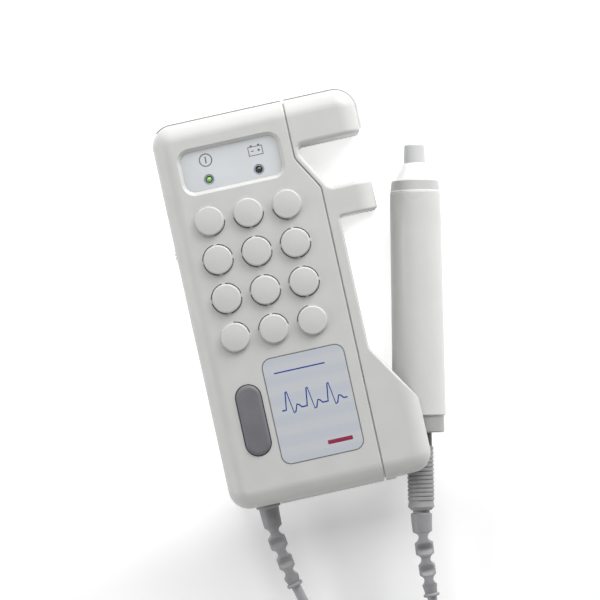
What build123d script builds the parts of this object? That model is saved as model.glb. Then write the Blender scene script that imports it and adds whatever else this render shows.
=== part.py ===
"""A handheld audio vascular doppler: its handset, its pencil probe and the lead between them.

Millimetres. The handset lies on its back: +Z comes out of its front face, +Y runs to its top end
and +X to the side that holds the probe. The origin is the middle of the flat back face.
"""

import math
import os

from build123d import *

os.makedirs("parts", exist_ok=True)

# The handset's outside
body_width = 74.0
body_length = 140.0
body_depth = 27.0
corner_radius = 7.5
front_round = 6.5
rear_round = 2.0
seam_round = 0.4
side_wall = 2.3
front_wall = 2.5
rear_wall = 2.2
split_height = 12.0
shell_gap = 0.2
left = -body_width / 2
right = body_width / 2
bottom = -body_length / 2
top = body_length / 2
front_inside = body_depth - front_wall
beyond = 20.0

# The seam between the two shells and the probe holder: a shallow groove over a lip on the shells
seam_gap = 0.5
seam_depth = 0.7
seam_clearance = 0.1
horn_width = 25.2
holder_width = 18.2
seam_step_drop = 21.3
seam_step_length = 12.0
seam_upper = right - horn_width
seam_lower = right - holder_width
seam_step_top = top - seam_step_drop
seam_step_bottom = seam_step_top - seam_step_length
seam_bend = 4.0

# The probe, from its rear end to its tip
probe_lean = 11.45
probe_rear_inset = 2.4
probe_rear_height = 13.2
probe_rear_x = right - probe_rear_inset
probe_rear_y = bottom + probe_rear_height
rear_collar_length = 6.1
rear_collar_radius = 8.95
barrel_length = 80.6
barrel_rear_radius = 9.6
barrel_front_radius = 9.2
barrel_wall = 1.8
ring_length = 0.5
ring_radius = 9.05
front_collar_length = 3.8
front_collar_rear_radius = 8.95
front_collar_front_radius = 8.55
cone_length = 6.2
cone_rear_radius = 7.1
cone_front_radius = 4.0
tip_length = 7.0
tip_end_radius = 3.7
tip_round = 0.6
barrel_start = rear_collar_length
barrel_end = barrel_start + barrel_length
front_collar_start = barrel_end + ring_length
cone_start = front_collar_start + front_collar_length
tip_start = cone_start + cone_length
probe_length = tip_start + tip_length

# The probe holder: horn, spring clip and the channel for the probe's tail
horn_length = 16.9
notch_depth = 22.9
notch_straight = 3.3
notch_slant = 12.4
notch_floor = 1.1
prong_width = 11.1
prong_reach = 15.8
bay_depth = 13.9
tail_side = 25.6
tail_slope = 22.0
horn_underside = top - horn_length
notch_side = right - notch_depth
notch_step_top = horn_underside - notch_straight
notch_step_bottom = notch_step_top - notch_slant
prong_top = notch_step_bottom - notch_floor
prong_underside = prong_top - prong_width
prong_root = right - prong_reach
bay_side = right - bay_depth
bay_slope_bottom = bottom + tail_side
bay_slope_top = bay_slope_bottom + tail_slope
channel_corner = 6.0
holder_front = 4.6
channel_floor = rear_wall
channel_ceiling = body_depth - holder_front
clip_slack = 0.2
clip_height = (channel_floor + channel_ceiling) / 2
clip_radius = barrel_front_radius + clip_slack
clip_x = bay_side + barrel_rear_radius + clip_slack
horn_edge_round = 1.6
prong_edge_round = 1.0
notch_corner = 1.5
bay_corner = 1.0
bay_bend = 4.0

# How the probe lies: on the channel's rear lip, with its front end on the table
lip_clearance = 0.15
table_clearance = 0.05
lip_distance = (right - probe_rear_x) / math.sin(math.radians(probe_lean))
lip_axis_height = channel_floor + barrel_rear_radius + lip_clearance
front_axis_height = barrel_front_radius + table_clearance
probe_dip = math.degrees(
    math.atan((lip_axis_height - front_axis_height) / (barrel_end - lip_distance))
)
probe_rear_z = lip_axis_height + lip_distance * math.tan(math.radians(probe_dip))
probe_rear = Vector(probe_rear_x, probe_rear_y, probe_rear_z)
probe_way = Vector(
    math.sin(math.radians(probe_lean)) * math.cos(math.radians(probe_dip)),
    math.cos(math.radians(probe_lean)) * math.cos(math.radians(probe_dip)),
    -math.sin(math.radians(probe_dip)),
)
probe_side = Vector(math.cos(math.radians(probe_lean)), -math.sin(math.radians(probe_lean)), 0)
probe_profile = Plane(origin=probe_rear, x_dir=probe_side, z_dir=probe_side.cross(probe_way))

# The front: window, lamps, grille, label and power button
window_place = 26.4
window_drop = 18.2
window_centre = (left + window_place, top - window_drop)
window_width = 35.2
window_height = 14.4
window_corner = 3.5
window_slope = 1.3
window_depth = 1.5
window_thickness = 0.6
window_ledge = 1.2
window_frame_depth = 1.7
lamp_side = 17.5
lamp_spacing = 18.1
power_lamp_drop = 21.9
battery_lamp_drop = 22.2
power_lamp_place = (left + lamp_side, top - power_lamp_drop)
battery_lamp_place = (left + lamp_side + lamp_spacing, top - battery_lamp_drop)
lamp_radius = 1.3
lamp_length = 5.0
sleeve_radius = 1.85
sleeve_window_gap = 0.05
window_floor = body_depth - window_depth
sleeve_top = window_floor - 0.2
lamp_top = window_floor - 0.1
label_side = 36.25
label_rise = 32.1
label_centre = (left + label_side, bottom + label_rise)
label_width = 29.9
label_height = 38.4
label_corner = 3.5
label_thickness = 0.4
label_recess = 0.3
label_gap = 0.1
grille_side = 28.55
grille_lift = 0.1
grille_margin = 4.24
grille_columns = 3
grille_rows = 4
disc_share = 0.3614
disc_height = 1.8
disc_dome = 0.36
disc_round = 0.55
sound_slot = 0.5
slot_flare = 0.3
slot_flare_depth = 0.5
sound_bridge = 1.3
sound_reach = 21.5
window_edge = window_centre[1] - window_height / 2 - window_slope
label_edge = label_centre[1] + label_height / 2
grille_centre = (left + grille_side, (window_edge + label_edge) / 2 + grille_lift)
grille_length = window_edge - label_edge - 2 * (grille_margin + sound_slot)
grille_pitch = grille_length / (grille_rows - 1 + 2 * disc_share)
disc_radius = disc_share * grille_pitch
button_side = 14.35
button_middle = 31.0
button_centre = (left + button_side, bottom + button_middle)
button_width = 9.1
button_length = 25.6
button_gap = 0.25
button_rise = 0.9
button_round = 1.4
button_flange = 1.2
button_flange_thickness = 1.5
button_travel = 0.8
button_rest_gap = 0.1
stem_radius = 1.7

# The board and what stands on it
board_bottom = 8.4
board_thickness = 1.6
board_gap = 0.6
board_top = board_bottom + board_thickness
switch_size = 6.0
switch_height = 3.5
plunger_radius = 1.75
plunger_clearance = 0.08
plunger_engaged = 0.3
wheel_side = 8.5
wheel_drop = 46.0
wheel_centre = (left + wheel_side, top - wheel_drop)
wheel_radius = 9.0
wheel_thickness = 3.2
wheel_knurls = 40
knurl_radius = 0.4
wheel_pin_radius = 1.5
wheel_clearance = 0.05
wheel_pin_depth = 1.6
wheel_slot_length = 14.4
pot_radius = 5.5
pot_height = 2.2
wheel_bottom = board_top + pot_height + 0.2
wheel_slot_height = 4.2
jack_drop = 21.0
jack_y = wheel_centre[1] - jack_drop
jack_boss_gap = 19.0
jack_height = 5.6
jack_width = 6.0
jack_length = 12.4
jack_nose_radius = 3.0
jack_nose_gap = 0.15
jack_bore_radius = 1.8
jack_bore_length = 14.0
jack_z = board_top + jack_height / 2

# The loudspeaker under the grille
speaker_radius = 20.0
speaker_inner_radius = 17.0
gasket_thickness = 0.5
speaker_flange = 1.2
basket_bottom_radius = 9.5
basket_plate = 0.8
speaker_drop = 7.1
basket_wall = 0.8
magnet_radius = 8.5
magnet_height = 3.2
cone_edge_radius = 14.5
cone_neck_radius = 4.6
cone_sheet = 0.5
cone_slant = 3.2
coil_former_length = 1.4
speaker_top = front_inside - gasket_thickness
basket_floor = speaker_top - speaker_drop

# Screws that hold the shells together, and the holder to the rear shell
screw_places = [
    (left + 7.2, top - 7.2),
    (left + 43.6, top - 7.0),
    (left + 5.2, jack_y - jack_boss_gap),
    (left + 50.8, bottom + 59.5),
    (left + 20.0, bottom + 6.2),
]
boss_radius = 2.7
rear_boss_radius = 3.5
screw_head_radius = 2.2
screw_head_height = 1.6
screw_head_depth = 2.4
screw_radius = 1.25
screw_hole_radius = 1.4
pilot_radius = 1.15
screw_top = 20.0
pilot_spare = 0.5
screw_recess_width = 0.6
screw_recess_depth = 0.8
holder_screw_rows = [bottom + 67.0, prong_underside + 4.8]
holder_screw_z = 5.2
holder_screw_radius = 1.1
holder_screw_reach = 5.6
holder_head_radius = 2.0
holder_head_height = 1.6
holder_pilot_radius = 1.0
pilot_end_wall = 0.8
standoff_places = [
    (left + 6.0, bottom + 112.0),
    (left + 42.0, bottom + 112.0),
    (left + 14.0, bottom + 66.0),
    (left + 46.0, bottom + 76.0),
    (left + 19.0, bottom + 46.0),
    (left + 6.0, bottom + 20.0),
]
standoff_radius = 2.0

# The battery, its tray and its sliding cover
battery_width = 26.5
battery_length = 48.5
battery_depth = 17.5
battery_round = 1.5
battery_x = left + 38.0
battery_low = bottom + 4.2
tray_gap = 0.35
tray_wall = 1.2
tray_floor = 1.2
tray_top = split_height - shell_gap
snap_thickness = 3.5
snap_width = 17.0
snap_height = 11.0
cover_width = 28.0
cover_length = 54.0
cover_plate = 1.2
cover_tongue = 0.9
cover_tongue_thickness = 0.8
cover_gap = 0.2
cover_grips = 5
cover_grip_width = 0.8
cover_grip_pitch = 2.2
cover_grip_depth = 0.4
cover_grip_length = 14.0
battery_gap = 0.3
lead_radius = 0.7
cover_top = cover_plate + cover_tongue_thickness
battery_bottom = cover_top + battery_gap
battery_top = battery_bottom + battery_depth
pad_inset = 3.0

# The lead: strain reliefs, plug, free stretches and the coil of the length put away
lead_diameter = 3.5
handset_exit_x = left + 12.6
relief_flange = 1.8
relief_flange_radius = 4.6
relief_sleeve = 7.3
relief_sleeve_radius = 3.6
relief_neck = 2.4
relief_neck_width = 3.4
relief_ring = 1.45
relief_radii = [3.3, 3.0]
relief_flare = 2.2
relief_flare_radius = 2.65
relief_neck_inset = 0.3
relief_end = 0.9
relief_end_radius = 3.2
relief_hole_radius = 3.2
relief_inner_flange = 1.2
relief_inner_radius = 4.4
handset_route = [
    (-21.05, -101.1, 10.75),
    (-19.6, -106.6, 9.8),
    (-17.6, -115.5, 7.4),
    (-16.6, -125.5, 4.4),
    (-16.8, -136.0, 2.2),
    (-17.4, -144.5, 1.75),
    (-17.4, -148.0, 1.75),
]
plug_route = [
    (26.1, -115.2, 12.4),
    (26.0, -120.3, 12.1),
    (26.3, -127.5, 11.9),
    (27.2, -134.5, 12.4),
    (28.0, -140.5, 13.3),
    (28.4, -144.5, 13.75),
    (28.4, -148.0, 13.75),
]
coil_centre = (5.5, -151.5)
coil_outer_radius = 22.9
coil_inner_radius = 14.5
coil_layers = 4
turns_per_layer = 2.0
turns_per_climb = 0.5
coil_layer_step = 4.0
coil_floor_height = lead_diameter / 2
coil_end_straight = lead_diameter
plug_nose_radius = 4.3
plug_nose_shown = 4.7
plug_nose_depth = 6.0
plug_nose_clearance = 0.08
plug_grip_end = 27.9
plug_grip_radius = 4.8
plug_grip_groove = 0.35
plug_grip_pitch = 1.5
plug_grip_chamfer = 1.25
plug_neck = 1.0
plug_neck_radius = 3.0
pin_radius = 0.5
pin_clearance = 0.08
pin_length = 5.0
pin_circle = 2.2
pin_count = 4
socket_length = 6.5
socket_radius = 7.3


def rounded_block(inset, low, high, front_radius, rear_radius):
    """The handset's envelope, pulled in by inset, with its front and rear rims rounded."""
    with BuildPart() as block:
        with BuildSketch(Plane.XY.offset(low)):
            RectangleRounded(body_width - 2 * inset, body_length - 2 * inset, corner_radius - inset)
        extrude(amount=high - low)
        fillet(block.faces().sort_by(Axis.Z)[-1].edges(), front_radius)
        if rear_radius > 0:
            fillet(block.faces().sort_by(Axis.Z)[0].edges(), rear_radius)
    return block.part


def shell_region(pulled_in):
    """Plan area of the two shells, kept off the seam's middle by pulled_in."""
    with BuildSketch() as region:
        with BuildLine():
            Polyline(
                (left - beyond, bottom - beyond),
                (seam_lower - pulled_in, bottom - beyond),
                (seam_lower - pulled_in, seam_step_bottom),
                (seam_upper - pulled_in, seam_step_top),
                (seam_upper - pulled_in, top + beyond),
                (left - beyond, top + beyond),
                close=True,
            )
        make_face()
        fillet(
            region.vertices().filter_by(lambda v: bottom < v.Y < top),
            seam_bend,
        )
    return region.sketch


def turned(plane, profile):
    """A solid turned about the plane's Y direction, from points given as radius and height."""
    with BuildPart() as body:
        with BuildSketch(plane):
            with BuildLine():
                Polyline(*profile, close=True)
            make_face()
        revolve(axis=Axis(plane.origin, plane.y_dir))
    return body.part


def probe_plane(distance):
    """The cross-section plane of the probe at this distance from its rear end."""
    return Plane(origin=probe_rear + probe_way * distance, x_dir=probe_side, z_dir=probe_way)


def seam_edge(piece, seam_x):
    """The long straight front edge along the seam; its rounding runs on around the whole seam."""
    front_edges = piece.edges().filter_by_position(Axis.Z, body_depth, body_depth)
    long_edges = front_edges.filter_by(lambda e: e.length > body_length / 2)
    return long_edges.filter_by(lambda e: abs(e.center().X - seam_x) < seam_gap / 2)


# The space inside the two shells
with BuildPart() as cavity:
    add(rounded_block(side_wall, rear_wall, front_inside, front_round - side_wall, 0))
    extrude(shell_region(seam_gap / 2 + side_wall), amount=body_depth, mode=Mode.INTERSECT)

with BuildPart() as seam_lip:
    add(
        rounded_block(
            seam_depth,
            seam_depth,
            body_depth - seam_depth,
            front_round - seam_depth,
            rear_round - seam_depth,
        )
    )
    extrude(shell_region(seam_clearance - seam_gap / 2), amount=body_depth, mode=Mode.INTERSECT)

with BuildPart() as shell_pair:
    add(rounded_block(0, 0, body_depth, front_round, rear_round))
    extrude(shell_region(seam_gap / 2), amount=body_depth, mode=Mode.INTERSECT)
    fillet(seam_edge(shell_pair, seam_lower - seam_gap / 2), seam_round)
    add(seam_lip.part)
    add(cavity.part, mode=Mode.SUBTRACT)

# One sound slot: a quarter ring around a disc that stops short of the bridges, flared at its mouth
slot_angle = 90 - math.degrees(sound_bridge / (disc_radius + sound_slot))
with BuildPart() as sound_slot_tool:
    with BuildSketch(Plane.XZ):
        with BuildLine():
            Polyline(
                (disc_radius + sound_slot, body_depth),
                (disc_radius, body_depth),
                (disc_radius + slot_flare, body_depth - slot_flare_depth),
                (disc_radius + slot_flare, front_inside),
                (disc_radius + sound_slot, front_inside),
                close=True,
            )
        make_face()
    revolve(axis=Axis.Z, revolution_arc=slot_angle)

slot_places = []
slot_middle = (disc_radius + sound_slot / 2) / math.sqrt(2)
for column in range(grille_columns):
    for row in range(grille_rows):
        disc_x = (column - (grille_columns - 1) / 2) * grille_pitch
        disc_y = (row - (grille_rows - 1) / 2) * grille_pitch
        for side_x, side_y, turn in [(1, 1, 0), (-1, 1, 90), (-1, -1, 180), (1, -1, 270)]:
            slot_reach = math.hypot(disc_x + side_x * slot_middle, disc_y + side_y * slot_middle)
            if slot_reach < sound_reach:
                slot_places.append((disc_x, disc_y, turn + (90 - slot_angle) / 2))

# One raised disc of the grille: a low dome with a rounded rim, let into the front wall
disc_top = body_depth + disc_height
disc_foot = body_depth - front_wall / 2
disc_dome_radius = (disc_radius**2 + disc_dome**2) / (2 * disc_dome)
with BuildPart() as grille_disc:
    with BuildSketch(Plane.XZ) as disc_profile:
        with BuildLine():
            Polyline(
                (0, disc_top), (0, disc_foot), (disc_radius, disc_foot), (disc_radius, disc_top - disc_dome)
            )
            RadiusArc((disc_radius, disc_top - disc_dome), (0, disc_top), -disc_dome_radius)
        make_face()
        rim = disc_profile.vertices().filter_by(lambda v: v.X > disc_radius / 2)
        fillet(rim.sort_by(Axis.Y)[-1], disc_round)
    revolve(axis=Axis.Z)

# Front shell: window frame, raised grille discs, slots, label recess, button slot and bosses
with BuildPart() as front_shell:
    add(shell_pair.part)
    split(bisect_by=Plane.XY.offset(split_height + shell_gap / 2), keep=Keep.TOP)
    with BuildSketch(Plane.XY.offset(window_floor - window_thickness - window_frame_depth)):
        with Locations(window_centre):
            RectangleRounded(
                window_width + 2 * window_ledge, window_height + 2 * window_ledge, window_corner
            )
    extrude(amount=window_frame_depth)
    with BuildSketch(Plane.XY.offset(window_floor)):
        with Locations(window_centre):
            RectangleRounded(window_width, window_height, window_corner)
    with BuildSketch(Plane.XY.offset(body_depth)):
        with Locations(window_centre):
            RectangleRounded(
                window_width + 2 * window_slope,
                window_height + 2 * window_slope,
                window_corner + window_slope,
            )
    loft(mode=Mode.SUBTRACT)
    with BuildSketch(Plane.XY.offset(window_floor - window_thickness)):
        with Locations(window_centre):
            RectangleRounded(window_width, window_height, window_corner)
    extrude(amount=window_thickness, mode=Mode.SUBTRACT)
    with BuildSketch(Plane.XY.offset(front_inside - body_depth / 2)):
        with Locations(window_centre):
            RectangleRounded(
                window_width - 2 * window_ledge,
                window_height - 2 * window_ledge,
                window_corner - window_ledge,
            )
    extrude(amount=body_depth / 2 + front_wall, mode=Mode.SUBTRACT)
    with Locations(grille_centre):
        with GridLocations(grille_pitch, grille_pitch, grille_columns, grille_rows):
            add(grille_disc.part)
    for disc_x, disc_y, turn in slot_places:
        slot_place = (grille_centre[0] + disc_x, grille_centre[1] + disc_y, 0)
        with Locations(Location(slot_place, (0, 0, turn))):
            add(sound_slot_tool.part, mode=Mode.SUBTRACT)
    with BuildSketch(Plane.XY.offset(body_depth - label_recess)):
        with Locations(label_centre):
            RectangleRounded(
                label_width + 2 * label_gap, label_height + 2 * label_gap, label_corner + label_gap
            )
    extrude(amount=label_recess, mode=Mode.SUBTRACT)
    with BuildSketch(Plane.XY.offset(front_inside)):
        with Locations(button_centre):
            SlotOverall(
                button_length + 2 * button_gap, button_width + 2 * button_gap, rotation=90
            )
    extrude(amount=front_wall, mode=Mode.SUBTRACT)
    with BuildSketch(Plane.XY.offset(split_height + shell_gap / 2)):
        with Locations(screw_places):
            Circle(boss_radius)
    extrude(amount=front_inside - split_height, mode=Mode.ADD)
    with BuildSketch(Plane.XY.offset(split_height)):
        with Locations(screw_places):
            Circle(pilot_radius)
    extrude(amount=screw_top + pilot_spare - split_height, mode=Mode.SUBTRACT)
    with BuildSketch(Plane.XY.offset(split_height)):
        with Locations((left, wheel_centre[1])):
            Rectangle(2 * side_wall + 2, wheel_slot_length)
    extrude(amount=wheel_slot_height, mode=Mode.SUBTRACT)
    with BuildSketch(Plane(origin=(handset_exit_x, bottom - 1, split_height), z_dir=(0, 1, 0))):
        Circle(relief_hole_radius)
    extrude(amount=side_wall + 2, mode=Mode.SUBTRACT)
    with BuildSketch(Plane(origin=(left - 1, jack_y, jack_z), z_dir=(1, 0, 0))):
        Circle(jack_nose_radius + jack_nose_gap)
    extrude(amount=side_wall + 2, mode=Mode.SUBTRACT)

# Rear shell: bosses, standoffs, battery tray and the grooves that its cover slides in
pocket_width = battery_width + 2 * tray_gap
pocket_low = battery_low - tray_gap
pocket_high = battery_low + battery_length + snap_thickness + tray_gap
pocket_middle = (pocket_low + pocket_high) / 2
pocket_length = pocket_high - pocket_low
tray_base = rear_wall + tray_floor
groove_width = cover_width + 2 * cover_tongue + 2 * cover_gap
with BuildPart() as rear_shell:
    add(shell_pair.part)
    split(bisect_by=Plane.XY.offset(split_height - shell_gap / 2), keep=Keep.BOTTOM)
    with BuildSketch(Plane.XY.offset(rear_wall)):
        with Locations((battery_x, pocket_middle)):
            Rectangle(groove_width + 1.6, pocket_length + 2 * tray_wall)
    extrude(amount=tray_floor)
    with BuildSketch(Plane.XY.offset(tray_base)):
        with Locations((battery_x, pocket_middle)):
            Rectangle(pocket_width + 2 * tray_wall, pocket_length + 2 * tray_wall)
    extrude(amount=tray_top - tray_base)
    with BuildSketch(Plane.XY.offset(rear_wall - 1)):
        with Locations(screw_places):
            Circle(rear_boss_radius)
        with Locations(standoff_places):
            Circle(standoff_radius)
    extrude(amount=board_bottom - rear_wall + 1)
    with BuildSketch(Plane.XY.offset(rear_wall - 1)):
        with Locations(screw_places):
            Circle(rear_boss_radius)
    extrude(amount=split_height - shell_gap / 2 - rear_wall + 1)
    with BuildSketch(Plane.XY.offset(cover_top + 0.1)):
        with Locations((battery_x, pocket_middle)):
            Rectangle(pocket_width, pocket_length)
    extrude(amount=body_depth, mode=Mode.SUBTRACT)
    with BuildSketch():
        with Locations((battery_x, bottom + cover_length / 2)):
            Rectangle(cover_width + 2 * cover_gap, cover_length + 2 * cover_gap)
    extrude(amount=rear_wall, mode=Mode.SUBTRACT)
    with BuildSketch(Plane.XY.offset(cover_plate - cover_gap)):
        with Locations((battery_x, bottom + cover_length / 2)):
            Rectangle(groove_width, cover_length + 2 * cover_gap)
    extrude(amount=rear_wall - cover_plate + cover_gap, mode=Mode.SUBTRACT)
    with BuildSketch():
        with Locations(screw_places):
            Circle(screw_head_radius + 0.3)
    extrude(amount=screw_head_depth + screw_head_height, mode=Mode.SUBTRACT)
    with BuildSketch():
        with Locations(screw_places):
            Circle(screw_hole_radius)
    extrude(amount=split_height, mode=Mode.SUBTRACT)
    with BuildSketch(Plane(origin=(handset_exit_x, bottom - 1, split_height), z_dir=(0, 1, 0))):
        Circle(relief_hole_radius)
    extrude(amount=side_wall + 2, mode=Mode.SUBTRACT)
    with BuildSketch(Plane(origin=(left - 1, jack_y, jack_z), z_dir=(1, 0, 0))):
        Circle(jack_nose_radius + jack_nose_gap)
    extrude(amount=side_wall + 2, mode=Mode.SUBTRACT)
    for row in holder_screw_rows:
        with BuildSketch(
            Plane(origin=(seam_lower - seam_gap - side_wall - 1, row, holder_screw_z), z_dir=(1, 0, 0))
        ):
            Circle(holder_screw_radius + 0.1)
        extrude(amount=side_wall + 2, mode=Mode.SUBTRACT)

# Probe holder: one moulding with the horn, the spring clip and the channel
with BuildPart() as probe_holder:
    add(rounded_block(0, 0, body_depth, front_round, rear_round))
    extrude(shell_region(-seam_gap / 2), amount=body_depth, mode=Mode.SUBTRACT)
    fillet(seam_edge(probe_holder, seam_lower + seam_gap / 2), seam_round)
    with BuildSketch() as notch:
        with BuildLine():
            Polyline(
                (right + beyond, horn_underside),
                (notch_side, horn_underside),
                (notch_side, notch_step_top),
                (prong_root, notch_step_bottom),
                (prong_root + 1.6, prong_top),
                (right + beyond, prong_top),
                close=True,
            )
        make_face()
        fillet(notch.vertices().filter_by(lambda v: v.X < prong_root - 1), notch_corner)
        fillet(notch.vertices().filter_by(lambda v: prong_root - 1 < v.X < right), bay_corner)
    extrude(amount=body_depth, mode=Mode.SUBTRACT)
    with BuildSketch() as bay:
        with BuildLine():
            Polyline(
                (right + beyond, prong_underside),
                (bay_side, prong_underside),
                (bay_side, bay_slope_top),
                (right, bay_slope_bottom),
                (right + beyond, bay_slope_bottom),
                close=True,
            )
        make_face()
        fillet(bay.vertices().filter_by(lambda v: v.X < bay_side + 1 and v.Y < 0), bay_bend)
        fillet(bay.vertices().filter_by(lambda v: v.X < bay_side + 1 and v.Y > 0), bay_corner)
    extrude(amount=body_depth, mode=Mode.SUBTRACT)
    tips = probe_holder.edges().filter_by(Axis.Z).filter_by(
        lambda e: e.center().X > right - 0.5 and e.center().Y > bottom + corner_radius + 1
    )
    horn_edges = tips.filter_by(lambda e: horn_underside - 1 < e.center().Y < horn_underside + 1)
    prong_edges = tips.filter_by(lambda e: prong_underside - 1 < e.center().Y < prong_top + 1)
    fillet(horn_edges, horn_edge_round)
    fillet(prong_edges, prong_edge_round)
    with BuildSketch(Plane(origin=(0, bottom, 0), x_dir=(1, 0, 0), z_dir=(0, -1, 0))) as channel:
        with Locations(
            ((bay_side + right + beyond) / 2, (channel_floor + channel_ceiling) / 2)
        ):
            Rectangle(right + beyond - bay_side, channel_ceiling - channel_floor)
        fillet(channel.vertices().filter_by(lambda v: v.X < bay_side + 1), channel_corner)
    extrude(amount=-(bay_slope_top - bottom + 1), mode=Mode.SUBTRACT)
    with BuildSketch(Plane(origin=(clip_x, prong_underside, clip_height), z_dir=(0, 1, 0))):
        Circle(clip_radius)
    extrude(amount=prong_top - prong_underside, mode=Mode.SUBTRACT)
    for row in holder_screw_rows:
        with BuildSketch(
            Plane(origin=(seam_lower, row, holder_screw_z), z_dir=(1, 0, 0))
        ):
            Circle(holder_pilot_radius)
        extrude(amount=bay_side - seam_lower - pilot_end_wall, mode=Mode.SUBTRACT)

# Window, lamps and label on the front
with BuildPart() as window_panel:
    with BuildSketch(Plane.XY.offset(window_floor - window_thickness)):
        with Locations(window_centre):
            RectangleRounded(
                window_width - 2 * sleeve_window_gap,
                window_height - 2 * sleeve_window_gap,
                window_corner - sleeve_window_gap,
            )
        with Locations(power_lamp_place, battery_lamp_place):
            Circle(sleeve_radius + sleeve_window_gap, mode=Mode.SUBTRACT)
    extrude(amount=window_thickness)

with BuildPart() as lamp_sleeves:
    with BuildSketch(Plane.XY.offset(board_top)):
        with Locations(power_lamp_place, battery_lamp_place):
            Circle(sleeve_radius)
            Circle(lamp_radius, mode=Mode.SUBTRACT)
    extrude(amount=sleeve_top - board_top)


def lamp(place):
    """One small lamp: a round body with a domed end, held in its sleeve."""
    stem_top = lamp_top - lamp_radius
    with BuildPart() as body:
        with BuildSketch(Plane.XZ):
            with BuildLine():
                Line((0, stem_top - lamp_length), (lamp_radius, stem_top - lamp_length))
                Line((lamp_radius, stem_top - lamp_length), (lamp_radius, stem_top))
                RadiusArc((lamp_radius, stem_top), (0, lamp_top), -lamp_radius)
                Line((0, lamp_top), (0, stem_top - lamp_length))
            make_face()
        revolve(axis=Axis.Z)
    return body.part.moved(Location((place[0], place[1], 0)))


with BuildPart() as front_label:
    with BuildSketch(Plane.XY.offset(body_depth - label_recess)):
        with Locations(label_centre):
            RectangleRounded(label_width, label_height, label_corner)
    extrude(amount=label_thickness)

# Power button: a domed cap with a flange that stops under the front wall, and a stem
button_under = front_inside - button_rest_gap
stem_bottom = board_top + switch_height
with BuildPart() as power_button:
    with BuildSketch(Plane.XY.offset(button_under - button_flange_thickness)):
        with Locations(button_centre):
            SlotOverall(
                button_length + 2 * button_flange, button_width + 2 * button_flange, rotation=90
            )
    extrude(amount=button_flange_thickness)
    with BuildSketch(Plane.XY.offset(button_under)):
        with Locations(button_centre):
            SlotOverall(button_length, button_width, rotation=90)
    extrude(amount=body_depth + button_rise - button_under)
    fillet(power_button.faces().sort_by(Axis.Z)[-1].edges(), button_round)
    with BuildSketch(Plane.XY.offset(stem_bottom)):
        with Locations(button_centre):
            Circle(stem_radius)
    extrude(amount=button_under - button_flange_thickness - stem_bottom)

with BuildPart() as switch_plunger:
    with BuildSketch(Plane.XY.offset(stem_bottom - plunger_engaged)):
        with Locations(button_centre):
            Circle(plunger_radius)
    extrude(amount=plunger_engaged)

with BuildPart() as power_switch:
    with BuildSketch(Plane.XY.offset(board_top)):
        with Locations(button_centre):
            Rectangle(switch_size, switch_size)
    extrude(amount=switch_height)
    with BuildSketch(Plane.XY.offset(board_top + switch_height)):
        with Locations(button_centre):
            Circle(plunger_radius + plunger_clearance)
    extrude(amount=-(plunger_engaged + button_travel + 0.2), mode=Mode.SUBTRACT)

# Volume control: a knurled wheel whose rim shows at the left side, turning in its control's body
with BuildPart() as volume_wheel:
    with BuildSketch(Plane.XY.offset(wheel_bottom)):
        with Locations(wheel_centre):
            Circle(wheel_radius)
            with PolarLocations(wheel_radius, wheel_knurls):
                Circle(knurl_radius, mode=Mode.SUBTRACT)
    extrude(amount=wheel_thickness)
    with BuildSketch(Plane.XY.offset(wheel_bottom)):
        with Locations(wheel_centre):
            Circle(wheel_pin_radius)
    extrude(amount=-wheel_pin_depth)

with BuildPart() as volume_control:
    with BuildSketch(Plane.XY.offset(board_top)):
        with Locations(wheel_centre):
            Circle(pot_radius)
    extrude(amount=pot_height)
    with BuildSketch(Plane.XY.offset(board_top + pot_height)):
        with Locations(wheel_centre):
            Circle(wheel_pin_radius + wheel_clearance)
    extrude(amount=-wheel_pin_depth, mode=Mode.SUBTRACT)

with BuildPart() as headphone_jack:
    with BuildSketch(Plane.XY.offset(board_top)):
        with Locations((left + side_wall + 0.3 + jack_length / 2, jack_y)):
            Rectangle(jack_length, jack_width)
    extrude(amount=jack_height)
    with BuildSketch(Plane(origin=(left + 0.1, jack_y, jack_z), z_dir=(1, 0, 0))):
        Circle(jack_nose_radius)
    extrude(amount=side_wall + 0.2)
    with BuildSketch(Plane(origin=(left + 0.1, jack_y, jack_z), z_dir=(1, 0, 0))):
        Circle(jack_bore_radius)
    extrude(amount=jack_bore_length, mode=Mode.SUBTRACT)

# The board, with room for the bosses, the battery tray and the strain relief
with BuildPart() as main_board:
    with BuildSketch(Plane.XY.offset(board_bottom)) as outline:
        RectangleRounded(
            body_width - 2 * side_wall - 2 * board_gap,
            body_length - 2 * side_wall - 2 * board_gap,
            corner_radius - side_wall - board_gap,
        )
        add(shell_region(seam_gap / 2 + side_wall + board_gap), mode=Mode.INTERSECT)
        with Locations((battery_x, bottom)):
            Rectangle(
                pocket_width + 2 * tray_wall + 2 * board_gap,
                2 * (pocket_high + tray_wall + board_gap - bottom),
                mode=Mode.SUBTRACT,
            )
        with Locations((right, bottom)):
            Rectangle(
                2 * (right - battery_x),
                2 * (pocket_high + tray_wall + board_gap - bottom),
                mode=Mode.SUBTRACT,
            )
        with Locations((handset_exit_x, bottom)):
            Rectangle(6 * relief_inner_radius, 2 * side_wall + 4, mode=Mode.SUBTRACT)
        with Locations(screw_places):
            Circle(rear_boss_radius + 0.4, mode=Mode.SUBTRACT)
    extrude(amount=board_thickness)

chips = [
    (left + 29.0, top - 29.0, 9.0, 8.0, 1.4),
    (left + 20.0, top - 28.0, 6.0, 5.0, 1.2),
    (left + 28.0, bottom + 66.0, 8.0, 5.0, 1.6),
    (left + 34.0, top - 13.0, 6.0, 4.0, 1.2),
]
with BuildPart() as board_chips:
    for chip_x, chip_y, chip_width, chip_length, chip_height in chips:
        with BuildSketch(Plane.XY.offset(board_top)):
            with Locations((chip_x, chip_y)):
                Rectangle(chip_width, chip_length)
        extrude(amount=chip_height)

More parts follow.
